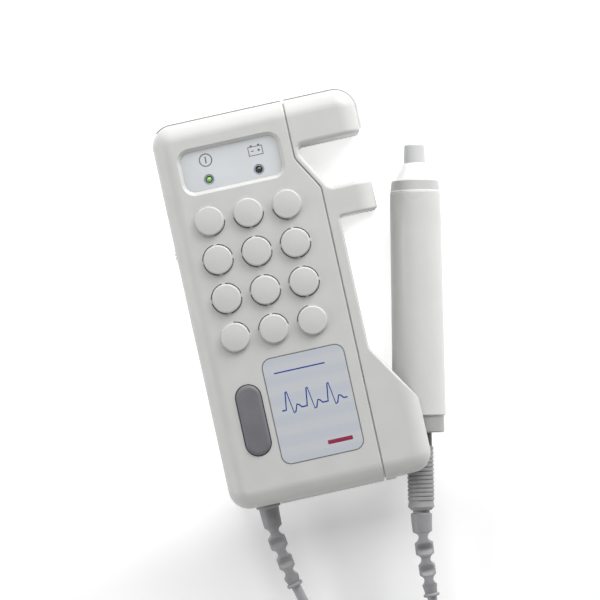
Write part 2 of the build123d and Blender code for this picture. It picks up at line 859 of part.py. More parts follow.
capacitors = [
    (left + 47.5, top - 39.5, 2.5, 6.0),
    (left + 47.0, bottom + 70.0, 2.5, 6.0),
    (left + 20.0, bottom + 64.0, 2.0, 5.0),
]
with BuildPart() as board_capacitors:
    for can_x, can_y, can_radius, can_height in capacitors:
        with BuildSketch(Plane.XY.offset(board_top)):
            with Locations((can_x, can_y)):
                Circle(can_radius)
        extrude(amount=can_height)

# Loudspeaker
speaker_plane = Plane(origin=(grille_centre[0], grille_centre[1], 0), x_dir=(1, 0, 0), z_dir=(0, -1, 0))
flange_low = speaker_top - speaker_flange
speaker_gasket = turned(
    speaker_plane,
    [
        (speaker_inner_radius, speaker_top),
        (speaker_radius, speaker_top),
        (speaker_radius, front_inside),
        (speaker_inner_radius, front_inside),
    ],
)
speaker_frame = turned(
    speaker_plane,
    [
        (0, basket_floor),
        (basket_bottom_radius, basket_floor),
        (basket_bottom_radius + basket_wall, basket_floor + basket_plate),
        (speaker_inner_radius + basket_wall, flange_low),
        (speaker_radius, flange_low),
        (speaker_radius, speaker_top),
        (speaker_inner_radius, speaker_top),
        (speaker_inner_radius, flange_low),
        (basket_bottom_radius, basket_floor + basket_plate),
        (0, basket_floor + basket_plate),
    ],
)
speaker_magnet = turned(
    speaker_plane,
    [
        (0, basket_floor - magnet_height),
        (magnet_radius, basket_floor - magnet_height),
        (magnet_radius, basket_floor),
        (0, basket_floor),
    ],
)
cone_top = speaker_top - 0.6
cone_low = cone_top - cone_slant
speaker_cone = turned(
    speaker_plane,
    [
        (0, cone_low - cone_sheet),
        (cone_neck_radius - cone_sheet, cone_low - cone_sheet),
        (cone_neck_radius - cone_sheet, cone_low - coil_former_length),
        (cone_neck_radius, cone_low - coil_former_length),
        (cone_neck_radius, cone_low - cone_sheet),
        (cone_edge_radius, cone_top - cone_sheet),
        (cone_edge_radius, cone_top),
        (cone_neck_radius, cone_low),
        (0, cone_low + 1.0),
    ],
)
speaker_surround = turned(
    speaker_plane,
    [
        (cone_edge_radius, cone_top - cone_sheet),
        (speaker_inner_radius, cone_top - cone_sheet),
        (speaker_inner_radius, cone_top),
        (cone_edge_radius, cone_top),
    ],
)

# Battery, its snap connector, its two leads and the foam pad over it
battery_middle = battery_low + battery_length / 2
with BuildPart() as battery:
    with BuildSketch(Plane.XY.offset(battery_bottom)):
        with Locations((battery_x, battery_middle)):
            RectangleRounded(battery_width, battery_length, battery_round)
    extrude(amount=battery_depth)

snap_low = battery_low + battery_length
snap_z = battery_bottom + battery_depth / 2
with BuildPart() as battery_snap:
    with BuildSketch(Plane.XY.offset(snap_z - snap_height / 2)):
        with Locations((battery_x, snap_low + snap_thickness / 2)):
            Rectangle(snap_width, snap_thickness)
    extrude(amount=snap_height)
    fillet(battery_snap.edges().filter_by(Axis.Z), 0.8)

lead_top = tray_top + 3 * lead_radius
lead_landing = snap_low + snap_thickness + 8.0
with BuildPart() as battery_leads:
    for lead_x in [battery_x - 3.0, battery_x + 3.0]:
        with BuildLine() as wire:
            FilletPolyline(
                (lead_x, snap_low + snap_thickness, lead_top),
                (lead_x, lead_landing, lead_top),
                (lead_x, lead_landing, board_top),
                radius=1.5,
            )
        with BuildSketch(Plane(origin=wire.line @ 0, z_dir=wire.line % 0)):
            Circle(lead_radius)
        sweep()

with BuildPart() as battery_pad:
    with BuildSketch(Plane.XY.offset(battery_top)):
        with Locations((battery_x, battery_middle)):
            Rectangle(battery_width - 2 * pad_inset, battery_length - 2 * pad_inset)
    extrude(amount=front_inside - battery_top)

# Battery cover: a plate flush with the back, tongues that slide in the grooves, grip ribs
with BuildPart() as battery_cover:
    add(rounded_block(0, 0, body_depth, front_round, rear_round))
    with BuildSketch() as cover_plan:
        with Locations((battery_x, bottom + cover_length / 2)):
            Rectangle(cover_width, cover_length)
    extrude(amount=cover_top, mode=Mode.INTERSECT)
    with BuildSketch(Plane.XY.offset(cover_plate)):
        with Locations((battery_x, bottom + (cover_length + rear_round) / 2)):
            Rectangle(cover_width + 2 * cover_tongue, cover_length - rear_round)
    extrude(amount=cover_tongue_thickness)
    with BuildSketch():
        with Locations((battery_x, bottom + cover_length - 3 * cover_grip_pitch)):
            with GridLocations(0, cover_grip_pitch, 1, cover_grips):
                Rectangle(cover_grip_length, cover_grip_width)
    extrude(amount=cover_grip_depth, mode=Mode.SUBTRACT)

# Screws: the five that join the shells, and the two that hold the probe holder
with BuildPart() as housing_screws:
    with BuildSketch(Plane.XY.offset(screw_head_depth)):
        with Locations(screw_places):
            Circle(screw_head_radius)
    extrude(amount=screw_head_height)
    with BuildSketch(Plane.XY.offset(screw_head_depth + screw_head_height)):
        with Locations(screw_places):
            Circle(screw_radius)
    extrude(amount=screw_top - screw_head_depth - screw_head_height)
    with BuildSketch(Plane.XY.offset(screw_head_depth)):
        with Locations(screw_places):
            Rectangle(screw_head_radius * 1.3, screw_recess_width)
            Rectangle(screw_recess_width, screw_head_radius * 1.3)
    extrude(amount=screw_recess_depth, mode=Mode.SUBTRACT)

inner_face = seam_lower - seam_gap / 2 - side_wall
with BuildPart() as holder_screws:
    for row in holder_screw_rows:
        with BuildSketch(Plane(origin=(inner_face, row, holder_screw_z), z_dir=(1, 0, 0))):
            Circle(holder_head_radius)
        extrude(amount=-holder_head_height)
        with BuildSketch(Plane(origin=(inner_face, row, holder_screw_z), z_dir=(1, 0, 0))):
            Circle(holder_screw_radius)
        extrude(amount=holder_screw_reach)

# Probe: collar, barrel, ring, front collar, cone and tip, with what they hold
socket_start = plug_nose_depth + 0.5
nose_bore = plug_nose_radius + plug_nose_clearance
probe_rear_collar = turned(
    probe_profile,
    [
        (nose_bore, 0),
        (rear_collar_radius - 0.5, 0),
        (rear_collar_radius, 0.5),
        (rear_collar_radius, rear_collar_length),
        (nose_bore, rear_collar_length),
    ],
)
probe_barrel = turned(
    probe_profile,
    [
        (barrel_rear_radius - barrel_wall, barrel_start),
        (barrel_rear_radius - 0.4, barrel_start),
        (barrel_rear_radius, barrel_start + 0.4),
        (barrel_front_radius, barrel_end - 0.4),
        (barrel_front_radius - 0.4, barrel_end),
        (barrel_front_radius - barrel_wall, barrel_end),
    ],
)
probe_ring = turned(
    probe_profile,
    [
        (0, barrel_end),
        (ring_radius, barrel_end),
        (ring_radius, front_collar_start),
        (0, front_collar_start),
    ],
)
probe_front_collar = turned(
    probe_profile,
    [
        (0, front_collar_start),
        (front_collar_rear_radius, front_collar_start),
        (front_collar_front_radius, cone_start - 0.4),
        (front_collar_front_radius - 0.4, cone_start),
        (0, cone_start),
    ],
)
crystal_depth = 1.2
crystal_radius = 3.1
crystal_split = 0.5
backing_length = 4.0
probe_cone = turned(
    probe_profile,
    [
        (0, cone_start),
        (cone_rear_radius, cone_start),
        (cone_front_radius, tip_start),
        (0, tip_start),
    ],
)
crystal_start = probe_length - 0.8 - crystal_depth
probe_tip = turned(
    probe_profile,
    [
        (crystal_radius, tip_start),
        (cone_front_radius, tip_start),
        (tip_end_radius, probe_length - tip_round),
        (tip_end_radius - tip_round, probe_length),
        (0, probe_length),
        (0, crystal_start + crystal_depth),
        (crystal_radius, crystal_start + crystal_depth),
    ],
)
with BuildPart() as probe_crystals:
    with BuildSketch(probe_plane(crystal_start)):
        Circle(crystal_radius)
        Rectangle(2 * crystal_radius + 1, crystal_split, mode=Mode.SUBTRACT)
    extrude(amount=crystal_depth)
probe_backing = turned(
    probe_profile,
    [
        (0, tip_start),
        (crystal_radius, tip_start),
        (crystal_radius, crystal_start),
        (0, crystal_start),
    ],
)
probe_board_width = 9.0
probe_board_end = barrel_end
with BuildPart() as probe_board:
    with BuildSketch(probe_plane(socket_start + socket_length)):
        Rectangle(probe_board_width, board_thickness)
    extrude(amount=probe_board_end - socket_start - socket_length)
with BuildPart() as probe_socket:
    with BuildSketch(probe_plane(socket_start)):
        Circle(socket_radius)
        with PolarLocations(pin_circle, pin_count):
            Circle(pin_radius + pin_clearance, mode=Mode.SUBTRACT)
    extrude(amount=socket_length)

# Plug: black nose with its pins, ribbed grip
plug_nose = turned(
    probe_profile,
    [
        (0, -plug_nose_shown),
        (plug_nose_radius, -plug_nose_shown),
        (plug_nose_radius, plug_nose_depth - 0.4),
        (plug_nose_radius - 0.4, plug_nose_depth),
        (0, plug_nose_depth),
    ],
)
with BuildPart() as plug_pins:
    with BuildSketch(probe_plane(plug_nose_depth)):
        with PolarLocations(pin_circle, pin_count):
            Circle(pin_radius)
    extrude(amount=pin_length)

grip_ribs = int((plug_grip_end - plug_nose_shown - 2 * plug_grip_chamfer) / plug_grip_pitch)
grip_profile = [(0, -plug_nose_shown), (plug_grip_radius - 0.6, -plug_nose_shown)]
for rib in range(grip_ribs):
    rib_start = -plug_nose_shown - 0.6 - rib * plug_grip_pitch
    grip_profile += [
        (plug_grip_radius, rib_start),
        (plug_grip_radius, rib_start - 0.55 * plug_grip_pitch),
        (plug_grip_radius - plug_grip_groove, rib_start - 0.7 * plug_grip_pitch),
        (plug_grip_radius - plug_grip_groove, rib_start - 0.85 * plug_grip_pitch),
    ]
grip_profile += [
    (plug_grip_radius, -plug_grip_end + plug_grip_chamfer),
    (plug_grip_radius - plug_grip_chamfer, -plug_grip_end),
    (plug_neck_radius, -plug_grip_end),
    (plug_neck_radius, -plug_grip_end - plug_neck),
    (0, -plug_grip_end - plug_neck),
]
plug_grip = turned(probe_profile, grip_profile)


def strain_relief(path, flange, flange_radius, sleeve, inner_length):
    """A slotted strain relief along a curved path: its necks are cut from the sides, and its
    blocks from front and back, so that it bends both ways."""
    length = path.length
    shape = [("round", flange, flange_radius, flange_radius)] if flange > 0 else []
    shape += [("round", sleeve, relief_sleeve_radius, relief_sleeve_radius - 0.1)]
    for radius in relief_radii:
        shape += [
            ("neck", relief_neck, radius, radius),
            ("round", relief_ring, radius, radius),
            ("slot", relief_neck, radius, radius),
            ("round", relief_ring, radius, radius),
        ]
    shape += [("neck", relief_neck, relief_radii[-1], relief_radii[-1])]
    fixed = sum(part[1] for part in shape) + relief_end
    shape += [("round", length - fixed, relief_neck_width / 2, relief_flare_radius)]
    shape += [("round", relief_end, relief_end_radius, relief_end_radius)]
    overlap = 0.25
    with BuildPart() as relief:
        done = 0.0
        for kind, extent, start_radius, end_radius in shape:
            way = path.tangent_at(done / length)
            place = path.position_at(done / length)
            last = done + extent > length - 0.01
            reach = extent if last else extent + overlap
            section = Plane(origin=place, x_dir=(-way.Y, way.X, 0), z_dir=way)
            if last:
                way = path.tangent_at(1)
                section = Plane(
                    origin=path.position_at(1) - way * relief_end, x_dir=(-way.Y, way.X, 0), z_dir=way
                )
            inset = relief_neck_inset if kind in ("neck", "slot") else 0.0
            with BuildSketch(section):
                Circle(start_radius - inset)
                if kind == "neck":
                    Rectangle(relief_neck_width, 4 * start_radius, mode=Mode.INTERSECT)
                if kind == "slot":
                    Rectangle(4 * start_radius, relief_neck_width, mode=Mode.INTERSECT)
            if abs(end_radius - start_radius) > 0.5:
                with BuildSketch(section.offset(reach)):
                    Circle(end_radius)
                loft()
            else:
                extrude(amount=reach)
            done += extent
        if inner_length > 0:
            start = path.position_at(0)
            with BuildSketch(Plane(origin=start, z_dir=-path.tangent_at(0))):
                Circle(relief_hole_radius - 0.05)
            extrude(amount=inner_length)
            with BuildSketch(Plane(origin=start - path.tangent_at(0) * inner_length, z_dir=-path.tangent_at(0))):
                Circle(relief_inner_radius)
            extrude(amount=relief_inner_flange)
    return relief.part


def route_way(route):
    """The direction of a route's first run."""
    return (Vector(*route[1]) - Vector(*route[0])).normalized()


with BuildLine() as handset_relief_path:
    Spline(
        (handset_exit_x, bottom, split_height),
        (-23.6, -86.0, 11.8),
        handset_route[0],
        tangents=[(0, -1, 0), tuple(route_way(handset_route))],
    )
plug_relief_start = probe_rear - probe_way * (plug_grip_end + plug_neck)
with BuildLine() as plug_relief_path:
    Spline(
        tuple(plug_relief_start),
        (27.2, -98.0, 13.2),
        plug_route[0],
        tangents=[tuple(probe_way * -1), tuple(route_way(plug_route))],
    )
strain_relief_handset = strain_relief(
    handset_relief_path.edge(), relief_flange, relief_flange_radius, relief_sleeve, side_wall
)
strain_relief_plug = strain_relief(plug_relief_path.edge(), 0, 0, relief_sleeve - 0.9, 0)

# Inside the handset the lead goes on to a connector on the board
stub_start = bottom + side_wall + relief_inner_flange
stub_length = 5.0
connector_size = (8.0, 7.0, 5.0)
with BuildPart() as lead_stub:
    with BuildSketch(Plane(origin=(handset_exit_x, stub_start, split_height), z_dir=(0, 1, 0))):
        Circle(lead_diameter / 2)
    extrude(amount=stub_length)
with BuildPart() as lead_connector:
    with BuildSketch(Plane.XY.offset(board_top)):
        with Locations((handset_exit_x, stub_start + stub_length + connector_size[1] / 2)):
            Rectangle(connector_size[0], connector_size[1])
    extrude(amount=connector_size[2])


def free_stretch(route):
    """A round lead along a route, with arcs as large as the runs beside each corner allow."""
    points = [Vector(*point) for point in route]
    runs = [(b - a).length for a, b in zip(points, points[1:])]
    radii = []
    for i in range(1, len(points) - 1):
        turn = math.radians((points[i] - points[i - 1]).get_angle(points[i + 1] - points[i]))
        radii.append(0.45 * min(runs[i - 1], runs[i]) / math.tan(turn / 2))
    print("lead radii", [round(radius, 1) for radius in radii])
    with BuildPart() as lead:
        with BuildLine() as line:
            FilletPolyline(*route, radius=radii)
        with BuildSketch(Plane(origin=line.line @ 0, z_dir=line.line % 0)):
            Circle(lead_diameter / 2)
        sweep()
    section = math.pi * (lead_diameter / 2) ** 2
    print("lead", round(line.wire().length, 1), "volume ratio", lead.part.volume / section / line.wire().length)
    return lead.part


cable_near_handset = free_stretch(handset_route)
cable_near_plug = free_stretch(plug_route)

# The coil: layers that spiral in and out, climbing one layer where the spiral turns back
coil_turns = coil_layers * turns_per_layer + (coil_layers - 1) * turns_per_climb
quarter = 0.25


def coil_point(turn):
    """The lead's centre after this many turns, counted from where it comes to the coil."""
    period = turns_per_layer + turns_per_climb
    layer = min(int(turn / period + 1e-9), coil_layers - 1)
    within = turn - layer * period
    inward = layer % 2 == 0
    height = layer
    share = within / turns_per_layer
    if within > turns_per_layer:
        climb = (within - turns_per_layer) / turns_per_climb
        height += (1 - math.cos(math.pi * climb)) / 2
        share = 1 + turns_per_climb / turns_per_layer / math.pi * math.sin(math.pi * climb)
    share = share if inward else 1 - share
    radius = coil_outer_radius + (coil_inner_radius - coil_outer_radius) * share
    angle = math.pi + 2 * math.pi * turn
    return Vector(
        coil_centre[0] + radius * math.cos(angle),
        coil_centre[1] + radius * math.sin(angle),
        coil_floor_height + height * coil_layer_step,
    )


def coil_way(turn):
    """The lead's direction there; at both ends it is square to the stretch that it meets."""
    if turn == 0:
        return Vector(0, -1, 0)
    if turn == coil_turns:
        return Vector(0, 1, 0)
    step = 0.01
    return (coil_point(turn + step) - coil_point(turn - step)).normalized()


def biarc_joint(start, start_way, end, end_way):
    """Where two arcs meet that together run smoothly from one point to the other."""
    span = end - start
    both = start_way + end_way
    spread = 2 * (1 - start_way.dot(end_way))
    reach = (-span.dot(both) + math.sqrt(span.dot(both) ** 2 + spread * span.dot(span))) / spread
    return (start + start_way * reach + end - end_way * reach) * 0.5, reach


with BuildPart() as cable_coil:
    with BuildLine() as turns:
        first = coil_point(0)
        Line(first - coil_way(0) * coil_end_straight, first)
        for number in range(round(coil_turns / quarter)):
            begin, finish = coil_point(number * quarter), coil_point((number + 1) * quarter)
            begin_way, finish_way = coil_way(number * quarter), coil_way((number + 1) * quarter)
            joint, reach = biarc_joint(begin, begin_way, finish, finish_way)
            joint_way = (finish - finish_way * reach - begin - begin_way * reach).normalized()
            TangentArc(begin, joint, tangent=begin_way)
            TangentArc(joint, finish, tangent=joint_way)
        last = coil_point(coil_turns)
        Line(last, last + coil_way(coil_turns) * coil_end_straight)
    with BuildSketch(Plane(origin=turns.line @ 0, z_dir=turns.line % 0)):
        Circle(lead_diameter / 2)
    sweep()
coil_samples = 900
coil_wire = turns.wire()
coil_length = coil_wire.length
seen = [coil_wire.position_at(i / coil_samples) for i in range(coil_samples + 1)]
apart = math.ceil(20.0 / (coil_length / coil_samples))
least_gap = min(
    (seen[i] - seen[j]).length for i in range(len(seen)) for j in range(i + apart, len(seen))
)
print("coil length", round(coil_length, 1), "least gap to itself", round(least_gap - lead_diameter, 3))
section = math.pi * (lead_diameter / 2) ** 2
print("coil volume ratio", cable_coil.part.volume / section / coil_length)

pieces = {
    "front_shell": front_shell.part,
    "rear_shell": rear_shell.part,
    "probe_holder": probe_holder.part,
    "window_panel": window_panel.part,
    "lamp_sleeves": lamp_sleeves.part,
    "power_lamp": lamp(power_lamp_place),
    "battery_lamp": lamp(battery_lamp_place),
    "front_label": front_label.part,
    "power_button": power_button.part,
    "switch_plunger": switch_plunger.part,
    "power_switch": power_switch.part,
    "volume_wheel": volume_wheel.part,
    "volume_control": volume_control.part,
    "headphone_jack": headphone_jack.part,
    "main_board": main_board.part,
    "board_chips": board_chips.part,
    "board_capacitors": board_capacitors.part,
    "speaker_gasket": speaker_gasket,
    "speaker_frame": speaker_frame,
    "speaker_magnet": speaker_magnet,
    "speaker_cone": speaker_cone,
    "speaker_surround": speaker_surround,
    "battery": battery.part,
    "battery_snap": battery_snap.part,
    "battery_leads": battery_leads.part,
    "battery_pad": battery_pad.part,
    "battery_cover": battery_cover.part,
    "housing_screws": housing_screws.part,
    "holder_screws": holder_screws.part,
    "probe_rear_collar": probe_rear_collar,
    "probe_barrel": probe_barrel,
    "probe_ring": probe_ring,
    "probe_front_collar": probe_front_collar,
    "probe_cone": probe_cone,
    "probe_tip": probe_tip,
    "probe_crystals": probe_crystals.part,
    "probe_backing": probe_backing,
    "probe_board": probe_board.part,
    "probe_socket": probe_socket.part,
    "plug_nose": plug_nose,
    "plug_pins": plug_pins.part,
    "plug_grip": plug_grip,
    "strain_relief_plug": strain_relief_plug,
    "strain_relief_handset": strain_relief_handset,
    "lead_stub": lead_stub.part,
    "lead_connector": lead_connector.part,
    "cable_near_handset": cable_near_handset,
    "cable_near_plug": cable_near_plug,
    "cable_coil": cable_coil.part,
}
for name, piece in pieces.items():
    piece.label = name
    export_step(piece, f"parts/{name}.step")
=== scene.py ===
"""Finishes, printed marks, rubber pieces and lead of a handheld doppler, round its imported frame."""

import math

import bpy
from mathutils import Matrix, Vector


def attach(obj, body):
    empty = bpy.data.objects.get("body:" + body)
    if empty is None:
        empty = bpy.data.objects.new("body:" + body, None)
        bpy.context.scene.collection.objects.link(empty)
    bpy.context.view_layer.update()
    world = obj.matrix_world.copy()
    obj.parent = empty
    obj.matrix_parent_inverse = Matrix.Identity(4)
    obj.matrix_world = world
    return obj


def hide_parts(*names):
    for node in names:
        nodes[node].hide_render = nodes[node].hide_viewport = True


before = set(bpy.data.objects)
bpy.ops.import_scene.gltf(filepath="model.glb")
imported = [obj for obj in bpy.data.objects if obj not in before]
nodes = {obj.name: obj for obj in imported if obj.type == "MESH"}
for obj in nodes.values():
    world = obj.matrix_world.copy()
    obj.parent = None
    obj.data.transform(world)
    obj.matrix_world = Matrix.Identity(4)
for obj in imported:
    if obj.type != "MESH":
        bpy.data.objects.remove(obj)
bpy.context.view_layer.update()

MM = 0.001

# The case's outline in millimetres, about the middle of its flat back
case_half_width = 37.0
case_half_length = 70.0
case_corner_radius = 7.5


def choose(piece):
    """Makes this piece the only selected one."""
    bpy.ops.object.select_all(action="DESELECT")
    piece.select_set(True)
    bpy.context.view_layer.objects.active = piece


def settle(piece):
    """Moves a piece's place, turn and scale into its mesh."""
    choose(piece)
    bpy.ops.object.transform_apply(location=True, rotation=True, scale=True)


def add_object(name, data):
    """A new object of this data, in the scene."""
    thing = bpy.data.objects.new(name, data)
    bpy.context.scene.collection.objects.link(thing)
    return thing


def new_curve(name):
    """An empty curve in three dimensions."""
    curve = bpy.data.curves.new(name, "CURVE")
    curve.dimensions = "3D"
    return curve


def add_line(curve, kind, places):
    """Adds a line through these places, in millimetres, to the curve."""
    spline = curve.splines.new(kind)
    spline.points.add(len(places) - 1)
    for point, place in zip(spline.points, places):
        point.co = (place[0] * MM, place[1] * MM, place[2] * MM, 1)
    return spline


def as_mesh(name, curve):
    """A piece whose mesh is made from this curve."""
    choose(add_object(name, curve))
    bpy.ops.object.convert(target="MESH")
    return bpy.context.object


def give_finish(piece, finish):
    """Gives the whole piece this one finish."""
    piece.data.materials.clear()
    piece.data.materials.append(finish)


# Camera, straight above the handset and turned about its own axis
camera_turn = math.radians(-12.5)
camera_lens = 185.0
camera_sensor = 36.0
frame_width = 214.7 * MM
frame_level = 20.0 * MM
frame_centre = (2.8 * MM, -0.8 * MM)

camera_data = bpy.data.cameras.new("camera")
camera_data.lens = camera_lens
camera_data.sensor_width = camera_sensor
camera = add_object("camera", camera_data)
camera.location = (*frame_centre, frame_level + camera_lens / camera_sensor * frame_width)
camera.rotation_euler = (0, 0, camera_turn)
bpy.context.scene.camera = camera
bpy.context.scene.view_settings.view_transform = "Standard"


# Lead: its two routes, from the handset's strain relief and from the plug's, and the coil between
lead_diameter = 3.5 * MM
lead_bevel_steps = 5
lead_route_steps = 4
handset_route = [
    (-21.05, -101.1, 10.75),
    (-19.6, -106.6, 9.8),
    (-17.6, -115.5, 7.4),
    (-16.6, -125.5, 4.4),
    (-16.8, -136.0, 2.2),
    (-17.4, -144.5, 1.75),
    (-17.4, -148.0, 1.75),
]
plug_route = [
    (26.1, -115.2, 12.4),
    (26.0, -120.3, 12.1),
    (26.3, -127.5, 11.9),
    (27.2, -134.5, 12.4),
    (28.0, -140.5, 13.3),
    (28.4, -144.5, 13.75),
    (28.4, -148.0, 13.75),
]
coil_centre = (5.5, -151.5)
coil_outer_radius = 22.9
coil_inner_radius = 14.5
coil_layers = 4
turns_per_layer = 2.0
turns_per_climb = 0.5
coil_layer_step = 4.0
coil_floor_height = 1.75
points_per_turn = 16


def coil_point(turn):
    """The lead's centre after this many turns, in layers that spiral in and out."""
    period = turns_per_layer + turns_per_climb
    layer = min(int(turn / period + 1e-9), coil_layers - 1)
    within = turn - layer * period
    inward = layer % 2 == 0
    height = layer
    share = within / turns_per_layer
    if within > turns_per_layer:
        climb = (within - turns_per_layer) / turns_per_climb
        height += (1 - math.cos(math.pi * climb)) / 2
        share = 1 + turns_per_climb / turns_per_layer / math.pi * math.sin(math.pi * climb)
    share = share if inward else 1 - share
    radius = coil_outer_radius + (coil_inner_radius - coil_outer_radius) * share
    angle = math.pi + 2 * math.pi * turn
    return (
        coil_centre[0] + radius * math.cos(angle),
        coil_centre[1] + radius * math.sin(angle),
        coil_floor_height + height * coil_layer_step,
    )


def make_lead():
    """One lead from the handset to the plug, with its coil on the way."""
    coil_turns = coil_layers * turns_per_layer + (coil_layers - 1) * turns_per_climb
    coil_steps = int(coil_turns * points_per_turn) + 1
    coil = [coil_point(step / points_per_turn) for step in range(coil_steps)]
    curve = new_curve("lead")
    spline = add_line(curve, "NURBS", [*handset_route, *coil, *reversed(plug_route)])
    spline.order_u = 3
    spline.use_endpoint_u = True
    spline.resolution_u = lead_route_steps
    spline.use_smooth = True
    # The lead's radius is set on its points, and the bevel leaves it as it is
    for point in spline.points:
        point.radius = lead_diameter / 2
    curve.bevel_depth = 1.0
    curve.bevel_resolution = lead_bevel_steps
    return add_object("lead", curve)


lead = make_lead()
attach(lead, "handset")
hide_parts("cable_near_handset", "cable_coil", "cable_near_plug")


# Finishes, all laid on each piece's own coordinates
gloss_drift = 0.06
grain_detail = 3.0
tool_mark_depth = 0.004 * MM
tool_mark_detail = 4.0
lens_rough = 0.12
lens_coat = 0.6


def shaded(red, green, blue):
    """A colour from its levels out of 255, as they look on a screen."""
    linear = []
    for level in (red, green, blue):
        share = level / 255
        linear.append(share / 12.92 if share <= 0.04045 else ((share + 0.055) / 1.055) ** 2.4)
    return (*linear, 1.0)


def start_finish(name, rough, metallic=0.0):
    """A new material, with its node tree and its shader."""
    finish = bpy.data.materials.new(name)
    finish.use_nodes = True
    shader = finish.node_tree.nodes["Principled BSDF"]
    shader.inputs["Roughness"].default_value = rough
    shader.inputs["Metallic"].default_value = metallic
    return finish, finish.node_tree, shader


def own_place(tree):
    """The piece's own coordinates."""
    return tree.nodes.new("ShaderNodeTexCoord").outputs["Object"]


def place_about(tree, centre):
    """The piece's own coordinates across and along, about this centre in millimetres."""
    flat = tree.nodes.new("ShaderNodeMapping")
    flat.inputs["Location"].default_value = (-centre[0] * MM, -centre[1] * MM, 0)
    flat.inputs["Scale"].default_value = (1, 1, 0)
    tree.links.new(own_place(tree), flat.inputs["Vector"])
    return flat.outputs["Vector"]


def place_along(tree):
    """How far up the handset a place lies."""
    split = tree.nodes.new("ShaderNodeSeparateXYZ")
    tree.links.new(own_place(tree), split.inputs["Vector"])
    return split.outputs["Y"]


def distance(tree, vector):
    """The length of a vector."""
    reach = tree.nodes.new("ShaderNodeVectorMath")
    reach.operation = "LENGTH"
    tree.links.new(vector, reach.inputs[0])
    return reach.outputs["Value"]


def vector_step(tree, operation, vector, other=(0, 0, 0)):
    """One step of arithmetic on a vector."""
    step = tree.nodes.new("ShaderNodeVectorMath")
    step.operation = operation
    step.inputs[1].default_value = other
    tree.links.new(vector, step.inputs[0])
    return step.outputs["Vector"]


def number_step(tree, operation, first, second):
    """One step of arithmetic on two values that other nodes give."""
    step = tree.nodes.new("ShaderNodeMath")
    step.operation = operation
    tree.links.new(first, step.inputs[0])
    tree.links.new(second, step.inputs[1])
    return step.outputs[0]


def graded(tree, value, start, end, low=0.0, high=1.0, smooth=False):
    """Goes from low to high as the value goes from start to end."""
    ramp = tree.nodes.new("ShaderNodeMapRange")
    if smooth:
        ramp.interpolation_type = "SMOOTHSTEP"
    ramp.inputs["From Min"].default_value = start
    ramp.inputs["From Max"].default_value = end
    ramp.inputs["To Min"].default_value = low
    ramp.inputs["To Max"].default_value = high
    tree.links.new(value, ramp.inputs["Value"])
    return ramp.outputs["Result"]


def patches(tree, size, detail=2.0):
    """Soft patches of this size."""
    cloud = tree.nodes.new("ShaderNodeTexNoise")
    cloud.inputs["Scale"].default_value = 1 / size
    cloud.inputs["Detail"].default_value = detail
    tree.links.new(own_place(tree), cloud.inputs["Vector"])
    return cloud.outputs["Fac"]


def blend(tree, amount, first, second, low=0.35, high=0.65):
    """A colour that goes from the first levels to the second as the amount goes from low to high."""
    ramp = tree.nodes.new("ShaderNodeValToRGB")
    ramp.color_ramp.elements[0].position = low
    ramp.color_ramp.elements[0].color = shaded(*first)
    ramp.color_ramp.elements[1].position = high
    ramp.color_ramp.elements[1].color = shaded(*second)
    tree.links.new(amount, ramp.inputs["Fac"])
    return ramp.outputs["Color"]


def worn_gloss(tree, shader, size, smoother, rougher):
    """Lets the gloss drift in soft patches, as handling leaves it."""
    drift = graded(tree, patches(tree, size), 0.3, 0.7, smoother, rougher)
    tree.links.new(drift, shader.inputs["Roughness"])


def fine_grain(tree, shader, size, depth):
    """A fine moulded texture, with grains of this size raised by this depth."""
    raised = tree.nodes.new("ShaderNodeBump")
    raised.inputs["Strength"].default_value = 1.0
    raised.inputs["Distance"].default_value = depth
    tree.links.new(patches(tree, size, grain_detail), raised.inputs["Height"])
    tree.links.new(raised.outputs["Normal"], shader.inputs["Normal"])


def moulded(name, darker, lighter, rough, tone, grain, depth):
    """Moulded plastic or rubber, with its tone, grain and grain's depth in millimetres."""
    finish, tree, shader = start_finish(name, rough)
    colour = blend(tree, patches(tree, tone * MM), darker, lighter)
    tree.links.new(colour, shader.inputs["Base Color"])
    worn_gloss(tree, shader, 3 * tone * MM, rough - gloss_drift, rough + gloss_drift)
    fine_grain(tree, shader, grain * MM, depth * MM)
    return finish


def metal(name, darker, lighter, rough, grain):
    """Plated or bare metal, with tool marks of this grain in millimetres."""
    finish, tree, shader = start_finish(name, rough, 1.0)
    colour = blend(tree, patches(tree, grain * MM, tool_mark_detail), darker, lighter)
    tree.links.new(colour, shader.inputs["Base Color"])
    worn_gloss(tree, shader, 4 * grain * MM, rough - 0.08, rough + 0.1)
    fine_grain(tree, shader, grain * MM, tool_mark_depth)
    return finish


housing_plastic = moulded(
    "housing_plastic", (193, 193, 191), (196, 196, 194), rough=0.42, tone=9, grain=0.28, depth=0.006
)
probe_shell_plastic = moulded(
    "probe_shell_plastic", (198, 198, 197), (201, 201, 200), rough=0.3, tone=12, grain=0.5, depth=0.002
)
probe_tip_plastic = moulded(
    "probe_tip_plastic", (194, 195, 195), (198, 199, 199), rough=0.34, tone=5, grain=0.4, depth=0.002
)
probe_cone_plastic = moulded(
    "probe_cone_plastic", (230, 230, 229), (234, 234, 233), rough=0.24, tone=5, grain=0.4, depth=0.001
)
# The ring's near-white is a painted highlight, for the light caught at the barrel's front edge
ring_painted_highlight = moulded(
    "ring_painted_highlight", (247, 247, 246), (250, 250, 249), rough=0.24, tone=5, grain=0.4, depth=0.001
)
front_collar_plastic = moulded(
    "front_collar_plastic", (179, 179, 178), (184, 184, 183), rough=0.32, tone=5, grain=0.4, depth=0.002
)
rear_collar_plastic = moulded(
    "rear_collar_plastic", (150, 150, 149), (156, 156, 155), rough=0.3, tone=6, grain=0.4, depth=0.002
)
window_film = moulded(
    "window_film", (203, 206, 208), (207, 210, 212), rough=0.26, tone=14, grain=0.9, depth=0.001
)
lamp_surround_plastic = moulded(
    "lamp_surround_plastic", (146, 156, 174), (156, 165, 181), rough=0.35, tone=1, grain=0.3, depth=0.002
)
